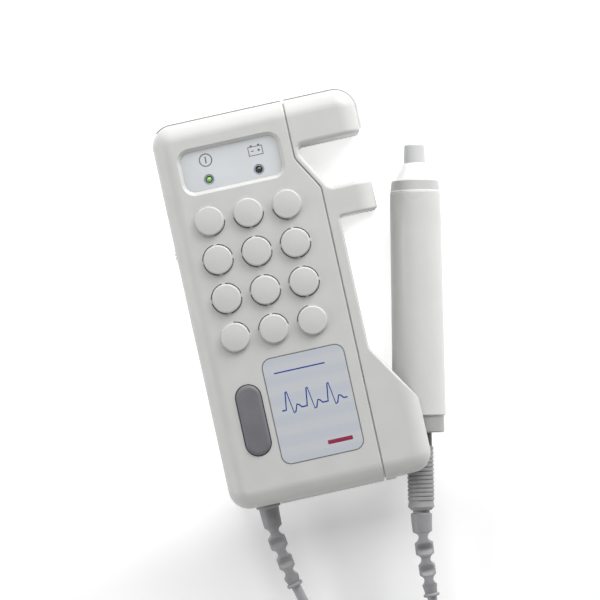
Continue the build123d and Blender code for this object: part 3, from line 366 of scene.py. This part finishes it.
button_rubber = moulded(
    "button_rubber", (102, 101, 106), (108, 107, 112), rough=0.55, tone=6, grain=0.22, depth=0.008
)
relief_rubber = moulded(
    "relief_rubber", (138, 138, 140), (146, 146, 148), rough=0.46, tone=4, grain=0.3, depth=0.008
)
grip_rubber = moulded(
    "grip_rubber", (141, 141, 142), (149, 149, 150), rough=0.48, tone=4, grain=0.3, depth=0.006
)
lead_sheath = moulded(
    "lead_sheath", (156, 156, 158), (164, 164, 166), rough=0.4, tone=8, grain=0.4, depth=0.004
)
black_plastic = moulded(
    "black_plastic", (38, 38, 40), (46, 46, 48), rough=0.45, tone=3, grain=0.25, depth=0.006
)
chip_plastic = moulded(
    "chip_plastic", (44, 44, 47), (54, 54, 57), rough=0.6, tone=1.5, grain=0.12, depth=0.008
)
wheel_plastic = moulded(
    "wheel_plastic", (152, 153, 153), (160, 161, 161), rough=0.5, tone=4, grain=0.2, depth=0.008
)
switch_plastic = moulded(
    "switch_plastic", (232, 232, 229), (238, 238, 235), rough=0.4, tone=2, grain=0.2, depth=0.003
)
foam = moulded("foam", (70, 70, 71), (98, 98, 99), rough=0.9, tone=0.5, grain=0.3, depth=0.06)
cone_paper = moulded(
    "cone_paper", (84, 80, 76), (108, 103, 97), rough=0.85, tone=0.8, grain=0.25, depth=0.03
)
surround_rubber = moulded(
    "surround_rubber", (40, 40, 41), (50, 50, 51), rough=0.6, tone=2, grain=0.3, depth=0.005
)
wire_sheath = moulded(
    "wire_sheath", (172, 32, 28), (188, 42, 36), rough=0.42, tone=2, grain=0.3, depth=0.002
)
backing_resin = moulded(
    "backing_resin", (62, 60, 58), (86, 84, 80), rough=0.6, tone=0.4, grain=0.2, depth=0.01
)
crystal_ceramic = moulded(
    "crystal_ceramic", (196, 186, 158), (208, 199, 172), rough=0.35, tone=0.5, grain=0.1, depth=0.003
)
grey_ink = moulded(
    "grey_ink", (96, 97, 102), (104, 105, 110), rough=0.4, tone=1, grain=0.2, depth=0.001
)
blue_ink = moulded(
    "blue_ink", (26, 58, 136), (32, 66, 146), rough=0.36, tone=1, grain=0.2, depth=0.001
)
crimson_ink = moulded(
    "crimson_ink", (132, 36, 66), (142, 42, 74), rough=0.36, tone=1, grain=0.2, depth=0.001
)
can_metal = metal("can_metal", (214, 215, 218), (232, 233, 235), rough=0.28, grain=0.4)
speaker_steel = metal("speaker_steel", (182, 184, 188), (206, 207, 210), rough=0.34, grain=0.6)
screw_steel = metal("screw_steel", (178, 179, 182), (204, 205, 207), rough=0.32, grain=0.3)
pin_brass = metal("pin_brass", (212, 180, 112), (230, 200, 136), rough=0.24, grain=0.3)

# Places and sizes on the handset that a finish follows, in millimetres
green_lens_centre = (-19.5, 48.1)
green_lens_radius = 1.3
dark_glint = 0.8
label_centre = (-0.75, -37.9)
label_half_size = (14.95, 19.2)
label_corner = 3.5
label_border = 0.3
border_fade = 0.08
label_band_pitch = 7.2
board_pattern = 8.0
board_wear = 6.0
jacket_band_edge = -30.0
jacket_band_fade = 0.1
jacket_wear = 8.0

# A wave texture of scale 1 repeats after this length
unit_wave = 0.31


def make_green_lens():
    """A clear green lamp under a glossy dome, with a painted glow: lighter in its middle, darker at its
    rim.
    """
    finish, tree, shader = start_finish("green_lens", lens_rough)
    reach = distance(tree, place_about(tree, green_lens_centre))
    share = graded(tree, reach, 0.0, green_lens_radius * MM)
    # Painted glow: lighter in the middle, darker towards the rim
    colour = blend(tree, share, (150, 200, 94), (88, 134, 54), 0.3, 0.98)
    tree.links.new(colour, shader.inputs["Base Color"])
    shader.inputs["Coat Weight"].default_value = lens_coat
    return finish


def make_dark_lens():
    """A smoked lamp that is off, with a faint glint of the chip inside it."""
    finish, tree, shader = start_finish("dark_lens", lens_rough)
    colour = blend(tree, patches(tree, dark_glint * MM), (48, 49, 34), (76, 78, 52), 0.4, 0.7)
    tree.links.new(colour, shader.inputs["Base Color"])
    shader.inputs["Coat Weight"].default_value = lens_coat
    return finish


def make_label_film():
    """Printed film: a pale blue-grey field with plain level bands and a thin dark border."""
    finish, tree, shader = start_finish("label_film", 0.28)
    place = place_about(tree, label_centre)

    # The border starts where a place is this near the film's rounded edge
    flat_part = [(half - label_corner) * MM for half in label_half_size]
    beyond = vector_step(tree, "SUBTRACT", vector_step(tree, "ABSOLUTE", place), (*flat_part, 0))
    reach = distance(tree, vector_step(tree, "MAXIMUM", beyond))
    border_start = label_corner - label_border
    border = graded(tree, reach, border_start * MM, (border_start + border_fade) * MM)

    level_bands = tree.nodes.new("ShaderNodeTexWave")
    level_bands.wave_type = "BANDS"
    level_bands.bands_direction = "Y"
    level_bands.inputs["Scale"].default_value = unit_wave / (label_band_pitch * MM)
    tree.links.new(place, level_bands.inputs["Vector"])
    field = blend(tree, level_bands.outputs["Fac"], (189, 193, 197), (184, 188, 196), 0.25, 0.85)

    printed = tree.nodes.new("ShaderNodeMix")
    printed.data_type = "RGBA"
    printed.inputs["B"].default_value = shaded(112, 112, 110)
    tree.links.new(border, printed.inputs["Factor"])
    tree.links.new(field, printed.inputs["A"])
    tree.links.new(printed.outputs["Result"], shader.inputs["Base Color"])
    return finish


def make_board():
    """A green circuit board: solder mask with lighter tracks under it."""
    finish, tree, shader = start_finish("board_green", 0.34)
    tracks = tree.nodes.new("ShaderNodeTexBrick")
    tracks.inputs["Scale"].default_value = 1 / (board_pattern * MM)
    tracks.inputs["Mortar Size"].default_value = 0.03
    tracks.inputs["Color1"].default_value = shaded(34, 104, 66)
    tracks.inputs["Color2"].default_value = shaded(30, 96, 60)
    tracks.inputs["Mortar"].default_value = shaded(70, 138, 92)
    tree.links.new(own_place(tree), tracks.inputs["Vector"])
    tree.links.new(tracks.outputs["Color"], shader.inputs["Base Color"])
    worn_gloss(tree, shader, board_wear * MM, 0.28, 0.4)
    return finish


def make_battery_jacket():
    """A battery's plain jacket: dark, with a copper-coloured band at the end of its terminals."""
    finish, tree, shader = start_finish("battery_jacket", 0.3, 0.6)
    start = jacket_band_edge - jacket_band_fade
    end = jacket_band_edge + jacket_band_fade
    band = graded(tree, place_along(tree), start * MM, end * MM)
    colour = blend(tree, band, (40, 42, 46), (190, 128, 84), 0.1, 0.9)
    tree.links.new(colour, shader.inputs["Base Color"])
    worn_gloss(tree, shader, jacket_wear * MM, 0.26, 0.38)
    return finish


finishes = {
    "front_shell": housing_plastic,
    "rear_shell": housing_plastic,
    "probe_holder": housing_plastic,
    "battery_cover": housing_plastic,
    "window_panel": window_film,
    "lamp_sleeves": lamp_surround_plastic,
    "power_lamp": make_green_lens(),
    "battery_lamp": make_dark_lens(),
    "front_label": make_label_film(),
    "power_button": button_rubber,
    "switch_plunger": switch_plastic,
    "power_switch": black_plastic,
    "volume_wheel": wheel_plastic,
    "volume_control": black_plastic,
    "headphone_jack": black_plastic,
    "main_board": make_board(),
    "board_chips": chip_plastic,
    "board_capacitors": can_metal,
    "speaker_gasket": foam,
    "speaker_frame": speaker_steel,
    "speaker_magnet": speaker_steel,
    "speaker_cone": cone_paper,
    "speaker_surround": surround_rubber,
    "battery": make_battery_jacket(),
    "battery_snap": black_plastic,
    "battery_leads": wire_sheath,
    "battery_pad": foam,
    "housing_screws": screw_steel,
    "holder_screws": screw_steel,
    "probe_rear_collar": rear_collar_plastic,
    "probe_barrel": probe_shell_plastic,
    "probe_ring": ring_painted_highlight,
    "probe_front_collar": front_collar_plastic,
    "probe_cone": probe_cone_plastic,
    "probe_tip": probe_tip_plastic,
    "probe_crystals": crystal_ceramic,
    "probe_backing": backing_resin,
    "probe_socket": black_plastic,
    "plug_nose": black_plastic,
    "plug_pins": pin_brass,
    "plug_grip": grip_rubber,
    "strain_relief_plug": relief_rubber,
    "strain_relief_handset": relief_rubber,
    "cable_near_handset": lead_sheath,
    "cable_coil": lead_sheath,
    "cable_near_plug": lead_sheath,
    "lead_stub": lead_sheath,
    "lead_connector": black_plastic,
}
finishes["probe_board"] = finishes["main_board"]
for name, finish in finishes.items():
    for slot in nodes[name].material_slots:
        slot.material = finish
give_finish(lead, lead_sheath)


# Printed marks: thin lines of ink on the window and on the label. Their places are in millimetres
# from the corner that the case's lower and left sides would make.
ink_thickness = 0.06 * MM
ink_bevel_steps = 3
window_surface = 25.5 * MM
label_surface = 27.1 * MM


def printed_line(name, places, width, surface, ink, closed=False):
    """A flat printed line of this width through these places, half sunk in its surface."""
    curve = new_curve(name)
    about_middle = [(x - case_half_width, y - case_half_length, 0) for x, y in places]
    spline = add_line(curve, "POLY", about_middle)
    spline.use_cyclic_u = closed
    curve.bevel_depth = width * MM / 2
    curve.bevel_resolution = ink_bevel_steps
    curve.use_fill_caps = True
    line = as_mesh(name, curve)
    line.scale = (1, 1, ink_thickness / (width * MM))
    line.location = (0, 0, surface)
    settle(line)
    give_finish(line, ink)
    return line


def join_pieces(name, pieces):
    """Makes one piece of several."""
    choose(pieces[0])
    for piece in pieces:
        piece.select_set(True)
    bpy.ops.object.join()
    joined = bpy.context.object
    joined.name = name
    return joined


def level_line(middle, height, reach):
    """The ends of a level line, as far as this to each side of its middle."""
    return [(middle - reach, height), (middle + reach, height)]


def upright_line(across, middle, reach):
    """The ends of an upright line, as far as this above and below its middle."""
    return [(across, middle - reach), (across, middle + reach)]


# Window: the sign for power, a bar in a circle, and the sign for the battery's charge
power_centre = (17.75, 125.1)
power_radius = 2.2
power_bar_reach = 1.2
power_steps = 48
battery_left = 33.3
battery_right = 38.3
battery_low = 123.0
battery_high = 126.1
post_middles = (34.5, 37.2)
post_height = 126.5
post_reach = 0.4
minus_middle = 34.7
plus_middle = 37.0
charge_height = 124.6
charge_reach = 0.5
outline_width = 0.4
power_bar_width = 0.45
post_width = 0.5
charge_width = 0.36

circle_places = []
for step in range(power_steps):
    angle = 2 * math.pi * step / power_steps
    across = power_centre[0] + power_radius * math.cos(angle)
    height = power_centre[1] + power_radius * math.sin(angle)
    circle_places.append((across, height))
battery_places = [
    (battery_left, battery_low),
    (battery_right, battery_low),
    (battery_right, battery_high),
    (battery_left, battery_high),
]
window_shapes = [
    ("power_circle", circle_places, outline_width, True),
    ("power_bar", upright_line(*power_centre, power_bar_reach), power_bar_width, False),
    ("battery_outline", battery_places, outline_width, True),
    ("battery_left_post", level_line(post_middles[0], post_height, post_reach), post_width, False),
    ("battery_right_post", level_line(post_middles[1], post_height, post_reach), post_width, False),
    ("minus", level_line(minus_middle, charge_height, charge_reach), charge_width, False),
    ("plus_level", level_line(plus_middle, charge_height, charge_reach), charge_width, False),
    ("plus_upright", upright_line(plus_middle, charge_height, charge_reach), charge_width, False),
]
window_lines = []
for name, places, width, closed in window_shapes:
    window_lines.append(printed_line(name, places, width, window_surface, grey_ink, closed))
window_marks = join_pieces("window_marks", window_lines)
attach(window_marks, "handset")

# Label: a plain trace of three heartbeats, a rule above it and a short bar below it
beat_shape = [
    (0.0, 0.0),
    (0.5, 0.0),
    (1.4, 6.2),
    (1.9, 6.4),
    (3.1, -1.5),
    (3.8, -1.2),
    (4.7, 1.3),
    (5.4, 1.1),
    (6.3, 0.0),
]
beat_count = 3
beat_spacing = 7.6
beat_narrowing = 0.98
trace_start = 25.1
first_beat = 26.1
trace_end = 48.9
trace_height = 32.0
trace_width = 0.55
rule_ends = [(25.1, 45.6), (43.5, 45.6)]
rule_width = 0.5
short_bar_ends = [(38.6, 17.6), (47.6, 17.6)]
short_bar_width = 1.5

trace_places = [(trace_start, trace_height)]
for beat in range(beat_count):
    for along, rise in beat_shape:
        across = first_beat + beat * beat_spacing + along * beat_narrowing
        trace_places.append((across, trace_height + rise))
trace_places.append((trace_end, trace_height))
label_lines = [
    printed_line("trace", trace_places, trace_width, label_surface, blue_ink),
    printed_line("rule", rule_ends, rule_width, label_surface, blue_ink),
    printed_line("short_bar", short_bar_ends, short_bar_width, label_surface, crimson_ink),
]
label_marks = join_pieces("label_marks", label_lines)
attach(label_marks, "handset")


# Strain reliefs: round rubber, bitten in turn from its sides and from its front and back.
# Each profile and each row of bites runs along the relief in millimetres from its own start.
round_sides = 40
bite_radius = 1.9
bite_offset = 3.5
bite_length = 12.0
rubber_voxel = 0.17 * MM
rubber_smoothing = 4
smoothing_share = 0.5
relief_path_steps = 32
handset_profile = [
    (-3.45, 4.3),
    (-2.35, 4.3),
    (-2.3, 3.1),
    (0.0, 3.1),
    (0.05, 4.5),
    (1.3, 4.5),
    (1.4, 3.65),
    (8.2, 3.3),
    (8.3, 3.2),
    (18.0, 3.2),
    (18.1, 2.95),
    (25.5, 2.9),
    (28.7, 2.65),
    (29.9, 2.25),
    (30.2, 2.2),
    (30.3, 2.95),
    (31.2, 2.95),
]
handset_side_bites = [10.4, 18.2, 25.7]
handset_front_bites = [14.15, 21.75]
handset_knots = [(-24.4, -70.0, 12.0), (-23.6, -86.0, 11.8), handset_route[0]]
handset_handles = [(0, -5.4, 0), (0.9, -5.0, -0.1), (1.25, -4.8, -0.8)]
plug_profile = [
    (0.0, 3.6),
    (0.3, 3.85),
    (6.6, 3.55),
    (6.7, 3.4),
    (15.5, 3.35),
    (15.6, 3.05),
    (22.5, 3.0),
    (22.6, 2.9),
    (25.4, 2.9),
    (26.6, 2.6),
    (29.0, 2.25),
    (29.3, 2.2),
    (29.4, 2.95),
    (30.2, 2.95),
]
plug_side_bites = [8.65, 16.7, 24.2]
plug_front_bites = [12.6, 20.4]
plug_knots = [(28.866, -85.107, 13.433), (27.2, -98.0, 13.2), plug_route[0]]
plug_handles = [(-0.9, -4.4, 0.16), (-0.5, -5.0, -0.15), (-0.1, -5.4, -0.33)]


def relief_path(name, knots, handles):
    """The smooth curve that a strain relief follows, with each knot's direction set."""
    curve = new_curve(name)
    curve.twist_mode = "Z_UP"
    curve.resolution_u = relief_path_steps
    spline = curve.splines.new("BEZIER")
    spline.bezier_points.add(len(knots) - 1)
    for point, knot, handle in zip(spline.bezier_points, knots, handles):
        place = Vector(knot) * MM
        reach = Vector(handle) * MM
        point.handle_left_type = "FREE"
        point.handle_right_type = "FREE"
        point.co = place
        point.handle_left = place - reach
        point.handle_right = place + reach
    return add_object(name, curve)


def round_bar(name, profile):
    """A round bar along X, drawn out from a disc through these places and radii."""
    bpy.ops.object.select_all(action="DESELECT")
    start, radius = profile[0]
    bpy.ops.mesh.primitive_circle_add(
        vertices=round_sides,
        radius=radius * MM,
        fill_type="NGON",
        location=(start * MM, 0, 0),
        rotation=(0, math.pi / 2, 0),
    )
    bar = bpy.context.object
    bar.name = name
    settle(bar)
    bpy.ops.object.mode_set(mode="EDIT")
    bpy.ops.mesh.select_all(action="SELECT")
    for place, next_radius in profile[1:]:
        bpy.ops.mesh.extrude_region_move(
            TRANSFORM_OT_translate={"value": ((place - start) * MM, 0, 0)}
        )
        share = next_radius / radius
        bpy.ops.transform.resize(value=(1, share, share), center_override=(place * MM, 0, 0))
        start, radius = place, next_radius
    bpy.ops.mesh.select_all(action="SELECT")
    bpy.ops.mesh.normals_make_consistent(inside=False)
    bpy.ops.object.mode_set(mode="OBJECT")
    return bar


def bite_cutter(place, way, turned):
    """A round cutter that crosses the bar at this place, beside its axis."""
    bpy.ops.object.select_all(action="DESELECT")
    bpy.ops.mesh.primitive_cylinder_add(
        vertices=round_sides,
        radius=bite_radius * MM,
        depth=bite_length * MM,
        location=Vector((place * MM, 0, 0)) + way * bite_offset * MM,
        rotation=turned,
    )
    return bpy.context.object


def add_bites(relief, side_bites, front_bites):
    """Takes round bites out of the bar: from both sides, and from front and back."""
    cutters = []
    for side in (-1, 1):
        for place in side_bites:
            cutters.append(bite_cutter(place, Vector((0, side, 0)), (0, 0, 0)))
        for place in front_bites:
            cutters.append(bite_cutter(place, Vector((0, 0, side)), (math.pi / 2, 0, 0)))
    bites = join_pieces("bites", cutters)
    bite = relief.modifiers.new("bite", "BOOLEAN")
    bite.operation = "DIFFERENCE"
    bite.solver = "EXACT"
    bite.object = bites
    choose(relief)
    bpy.ops.object.modifier_apply(modifier=bite.name)
    bpy.data.objects.remove(bites)


def soften(piece):
    """Rounds every edge a little, as moulded rubber has it."""
    choose(piece)
    even = piece.modifiers.new("even", "REMESH")
    even.mode = "VOXEL"
    even.voxel_size = rubber_voxel
    bpy.ops.object.modifier_apply(modifier=even.name)
    smooth = piece.modifiers.new("smooth", "SMOOTH")
    smooth.factor = smoothing_share
    smooth.iterations = rubber_smoothing
    bpy.ops.object.modifier_apply(modifier=smooth.name)
    bpy.ops.object.shade_smooth()


def lay_along(piece, path):
    """Bends a piece that lies along X to the path, then takes the path away."""
    choose(piece)
    bend = piece.modifiers.new("bend", "CURVE")
    bend.object = path
    bend.deform_axis = "POS_X"
    bpy.ops.object.modifier_apply(modifier=bend.name)
    bpy.data.objects.remove(path)


def make_relief(name, profile, side_bites, front_bites, path):
    """A strain relief: a round bar with its flanges and bites, bent to its path."""
    relief = round_bar(name, profile)
    add_bites(relief, side_bites, front_bites)
    soften(relief)
    lay_along(relief, path)
    give_finish(relief, relief_rubber)
    return relief


handset_path = relief_path("handset_path", handset_knots, handset_handles)
relief_handset = make_relief(
    "relief_handset", handset_profile, handset_side_bites, handset_front_bites, handset_path
)
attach(relief_handset, "handset")
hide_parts("strain_relief_handset")

plug_path = relief_path("plug_path", plug_knots, plug_handles)
relief_plug = make_relief("relief_plug", plug_profile, plug_side_bites, plug_front_bites, plug_path)
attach(relief_plug, "handset")
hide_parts("strain_relief_plug")


# Bead: the thin raised line along the case's two ends and its upper corners, in millimetres
bead_middle = 11.3
bead_reach = 0.55
bead_round = 0.6
bead_flat = 0.1
bead_side = case_half_width + bead_reach
bead_end = case_half_length + bead_reach
bead_corner = case_corner_radius + bead_reach
corner_steps = 12
left_corner_start = 130.0
seam_gap = (11.3, 12.3)
horn_low = 55.0
lead_edge = -19.5
holder_gap = (18.4, 19.2)
channel_edge = 22.8
painted_shade_start = 61.0
painted_shade_end = 69.5
bead_wear = 20.0
bead_grain = 0.28
bead_grain_depth = 0.004
bead_bevel_steps = 4
bead_weld = 0.001
bead_smooth_angle = math.radians(40)


def round_corner(centre, radius, start, end):
    """Places on part of a circle, from one direction to the other in degrees."""
    places = []
    for step in range(corner_steps + 1):
        angle = math.radians(start + (end - start) * step / corner_steps)
        places.append((centre[0] + radius * math.cos(angle), centre[1] + radius * math.sin(angle)))
    return places


def make_bead_painted_shade():
    """The case's plastic, a little worn, in painted shade along the top end and painted lighter than the
    case lower down.
    """
    finish, tree, shader = start_finish("bead_painted_shade", 0.42)
    # Painted shade: darker towards the top end; below it, painted light makes it lighter than the case
    share = graded(tree, place_along(tree), painted_shade_start * MM, painted_shade_end * MM)
    colour = blend(tree, share, (214, 214, 212), (130, 130, 129), 0.0, 1.0)
    tree.links.new(colour, shader.inputs["Base Color"])
    worn_gloss(tree, shader, bead_wear * MM, 0.36, 0.48)
    fine_grain(tree, shader, bead_grain * MM, bead_grain_depth * MM)
    return finish


def make_bead():
    """The bead in its four stretches, broken at the seam, the lead and the channel."""
    side = bead_side - bead_corner
    end = bead_end - bead_corner
    left_corner = round_corner((-side, end), bead_corner, left_corner_start, 90)
    right_corner = round_corner((side, end), bead_corner, 90, 0)
    stretches = [
        [*left_corner, (seam_gap[0], bead_end)],
        [(seam_gap[1], bead_end), *right_corner, (bead_side, horn_low)],
        [(lead_edge, -bead_end), (holder_gap[0], -bead_end)],
        [(holder_gap[1], -bead_end), (channel_edge, -bead_end)],
    ]
    curve = new_curve("case_bead")
    curve.twist_mode = "Z_UP"
    for stretch in stretches:
        add_line(curve, "POLY", [(x, y, bead_middle) for x, y in stretch])
    curve.extrude = bead_flat * MM
    curve.bevel_depth = bead_round * MM
    curve.bevel_resolution = bead_bevel_steps
    curve.use_fill_caps = True
    bead = as_mesh("case_bead", curve)
    bpy.ops.object.mode_set(mode="EDIT")
    bpy.ops.mesh.select_all(action="SELECT")
    bpy.ops.mesh.remove_doubles(threshold=bead_weld * MM)
    bpy.ops.mesh.normals_make_consistent(inside=False)
    bpy.ops.object.mode_set(mode="OBJECT")
    bpy.ops.object.shade_smooth_by_angle(angle=bead_smooth_angle)
    give_finish(bead, make_bead_painted_shade())
    return bead


case_bead = make_bead()
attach(case_bead, "handset")


# Floor and light
floor_size = 6.0
floor_level = -0.05 * MM
floor_white = 0.9
shadow_glow = 0.17
clear_glow = 0.62
shadow_edge = -92.0 * MM
clear_edge = -45.0 * MM
near_reach = 0.18
far_reach = 0.45
world_level = 0.08
world_sheen = 0.3


def make_floor():
    """A plain white floor with a painted glow, weak at the lead's end and strong elsewhere, so the
    object's soft shadow shows most there.
    """
    bpy.ops.object.select_all(action="DESELECT")
    bpy.ops.mesh.primitive_plane_add(size=floor_size, location=(0, 0, floor_level))
    floor = bpy.context.object
    floor.name = "floor"
    material = bpy.data.materials.new("floor_white")
    material.use_nodes = True
    tree = material.node_tree
    tree.nodes.clear()
    output = tree.nodes.new("ShaderNodeOutputMaterial")
    matt = tree.nodes.new("ShaderNodeBsdfDiffuse")
    matt.inputs["Color"].default_value = (floor_white, floor_white, floor_white, 1)
    glow = tree.nodes.new("ShaderNodeEmission")
    both = tree.nodes.new("ShaderNodeAddShader")
    path = tree.nodes.new("ShaderNodeLightPath")

    # The glow grows from the lead's end to the handset, and is full far away
    height = place_along(tree)
    near_glow = graded(tree, height, shadow_edge, clear_edge, shadow_glow, clear_glow, smooth=True)
    reach = distance(tree, own_place(tree))
    far_glow = graded(tree, reach, near_reach, far_reach, smooth=True)
    brightest = number_step(tree, "MAXIMUM", near_glow, far_glow)

    # It is there for what looks at the floor, and lights nothing
    seen = number_step(tree, "MAXIMUM", path.outputs["Is Camera Ray"], path.outputs["Is Glossy Ray"])
    seen = number_step(tree, "MAXIMUM", seen, path.outputs["Is Transmission Ray"])
    strength = number_step(tree, "MULTIPLY", seen, brightest)
    tree.links.new(strength, glow.inputs["Strength"])
    tree.links.new(matt.outputs[0], both.inputs[0])
    tree.links.new(glow.outputs[0], both.inputs[1])
    tree.links.new(both.outputs[0], output.inputs["Surface"])
    floor.data.materials.append(material)


def background(tree, strength):
    """Plain white light of this strength from all round."""
    light = tree.nodes.new("ShaderNodeBackground")
    light.inputs["Color"].default_value = (1, 1, 1, 1)
    light.inputs["Strength"].default_value = strength
    return light.outputs[0]


def pick(tree, choice, otherwise, chosen):
    """One of two shaders: the chosen one where the choice is 1."""
    mix = tree.nodes.new("ShaderNodeMixShader")
    tree.links.new(choice, mix.inputs[0])
    tree.links.new(otherwise, mix.inputs[1])
    tree.links.new(chosen, mix.inputs[2])
    return mix.outputs[0]


def make_world():
    """Even white light all round, and pure white where the camera looks past the floor."""
    world = bpy.data.worlds.new("studio")
    bpy.context.scene.world = world
    world.use_nodes = True
    tree = world.node_tree
    tree.nodes.clear()
    output = tree.nodes.new("ShaderNodeOutputWorld")
    path = tree.nodes.new("ShaderNodeLightPath")
    around = background(tree, world_level)
    sheen = background(tree, world_sheen)
    behind = background(tree, 1.0)
    reflected = pick(tree, path.outputs["Is Glossy Ray"], around, sheen)
    all_round = pick(tree, path.outputs["Is Camera Ray"], reflected, behind)
    tree.links.new(all_round, output.inputs["Surface"])


def make_lamp(name, place, size, power):
    """A soft oblong lamp aimed at the handset."""
    light = bpy.data.lights.new(name, "AREA")
    light.shape = "RECTANGLE"
    light.size, light.size_y = size
    light.energy = power
    lamp = add_object(name, light)
    lamp.location = place
    lamp.rotation_euler = (-Vector(place)).to_track_quat("-Z", "Y").to_euler()


make_floor()
make_world()
make_lamp("top_light", place=(0.1, 0.75, 0.8), size=(1.2, 0.6), power=7.5)
make_lamp("top_low_light", place=(0.15, 0.95, 0.34), size=(1.7, 0.5), power=3.5)
make_lamp("corner_light", place=(0.75, 0.75, 0.35), size=(0.8, 0.5), power=11.9)
make_lamp("right_light", place=(1.0, 0.05, 0.4), size=(0.9, 0.6), power=0.9)
make_lamp("left_light", place=(-1.0, 0.05, 0.4), size=(0.9, 0.6), power=5.2)
make_lamp("bottom_light", place=(0.1, -1.0, 0.4), size=(1.2, 0.5), power=4.3)

bpy.context.view_layer.update()
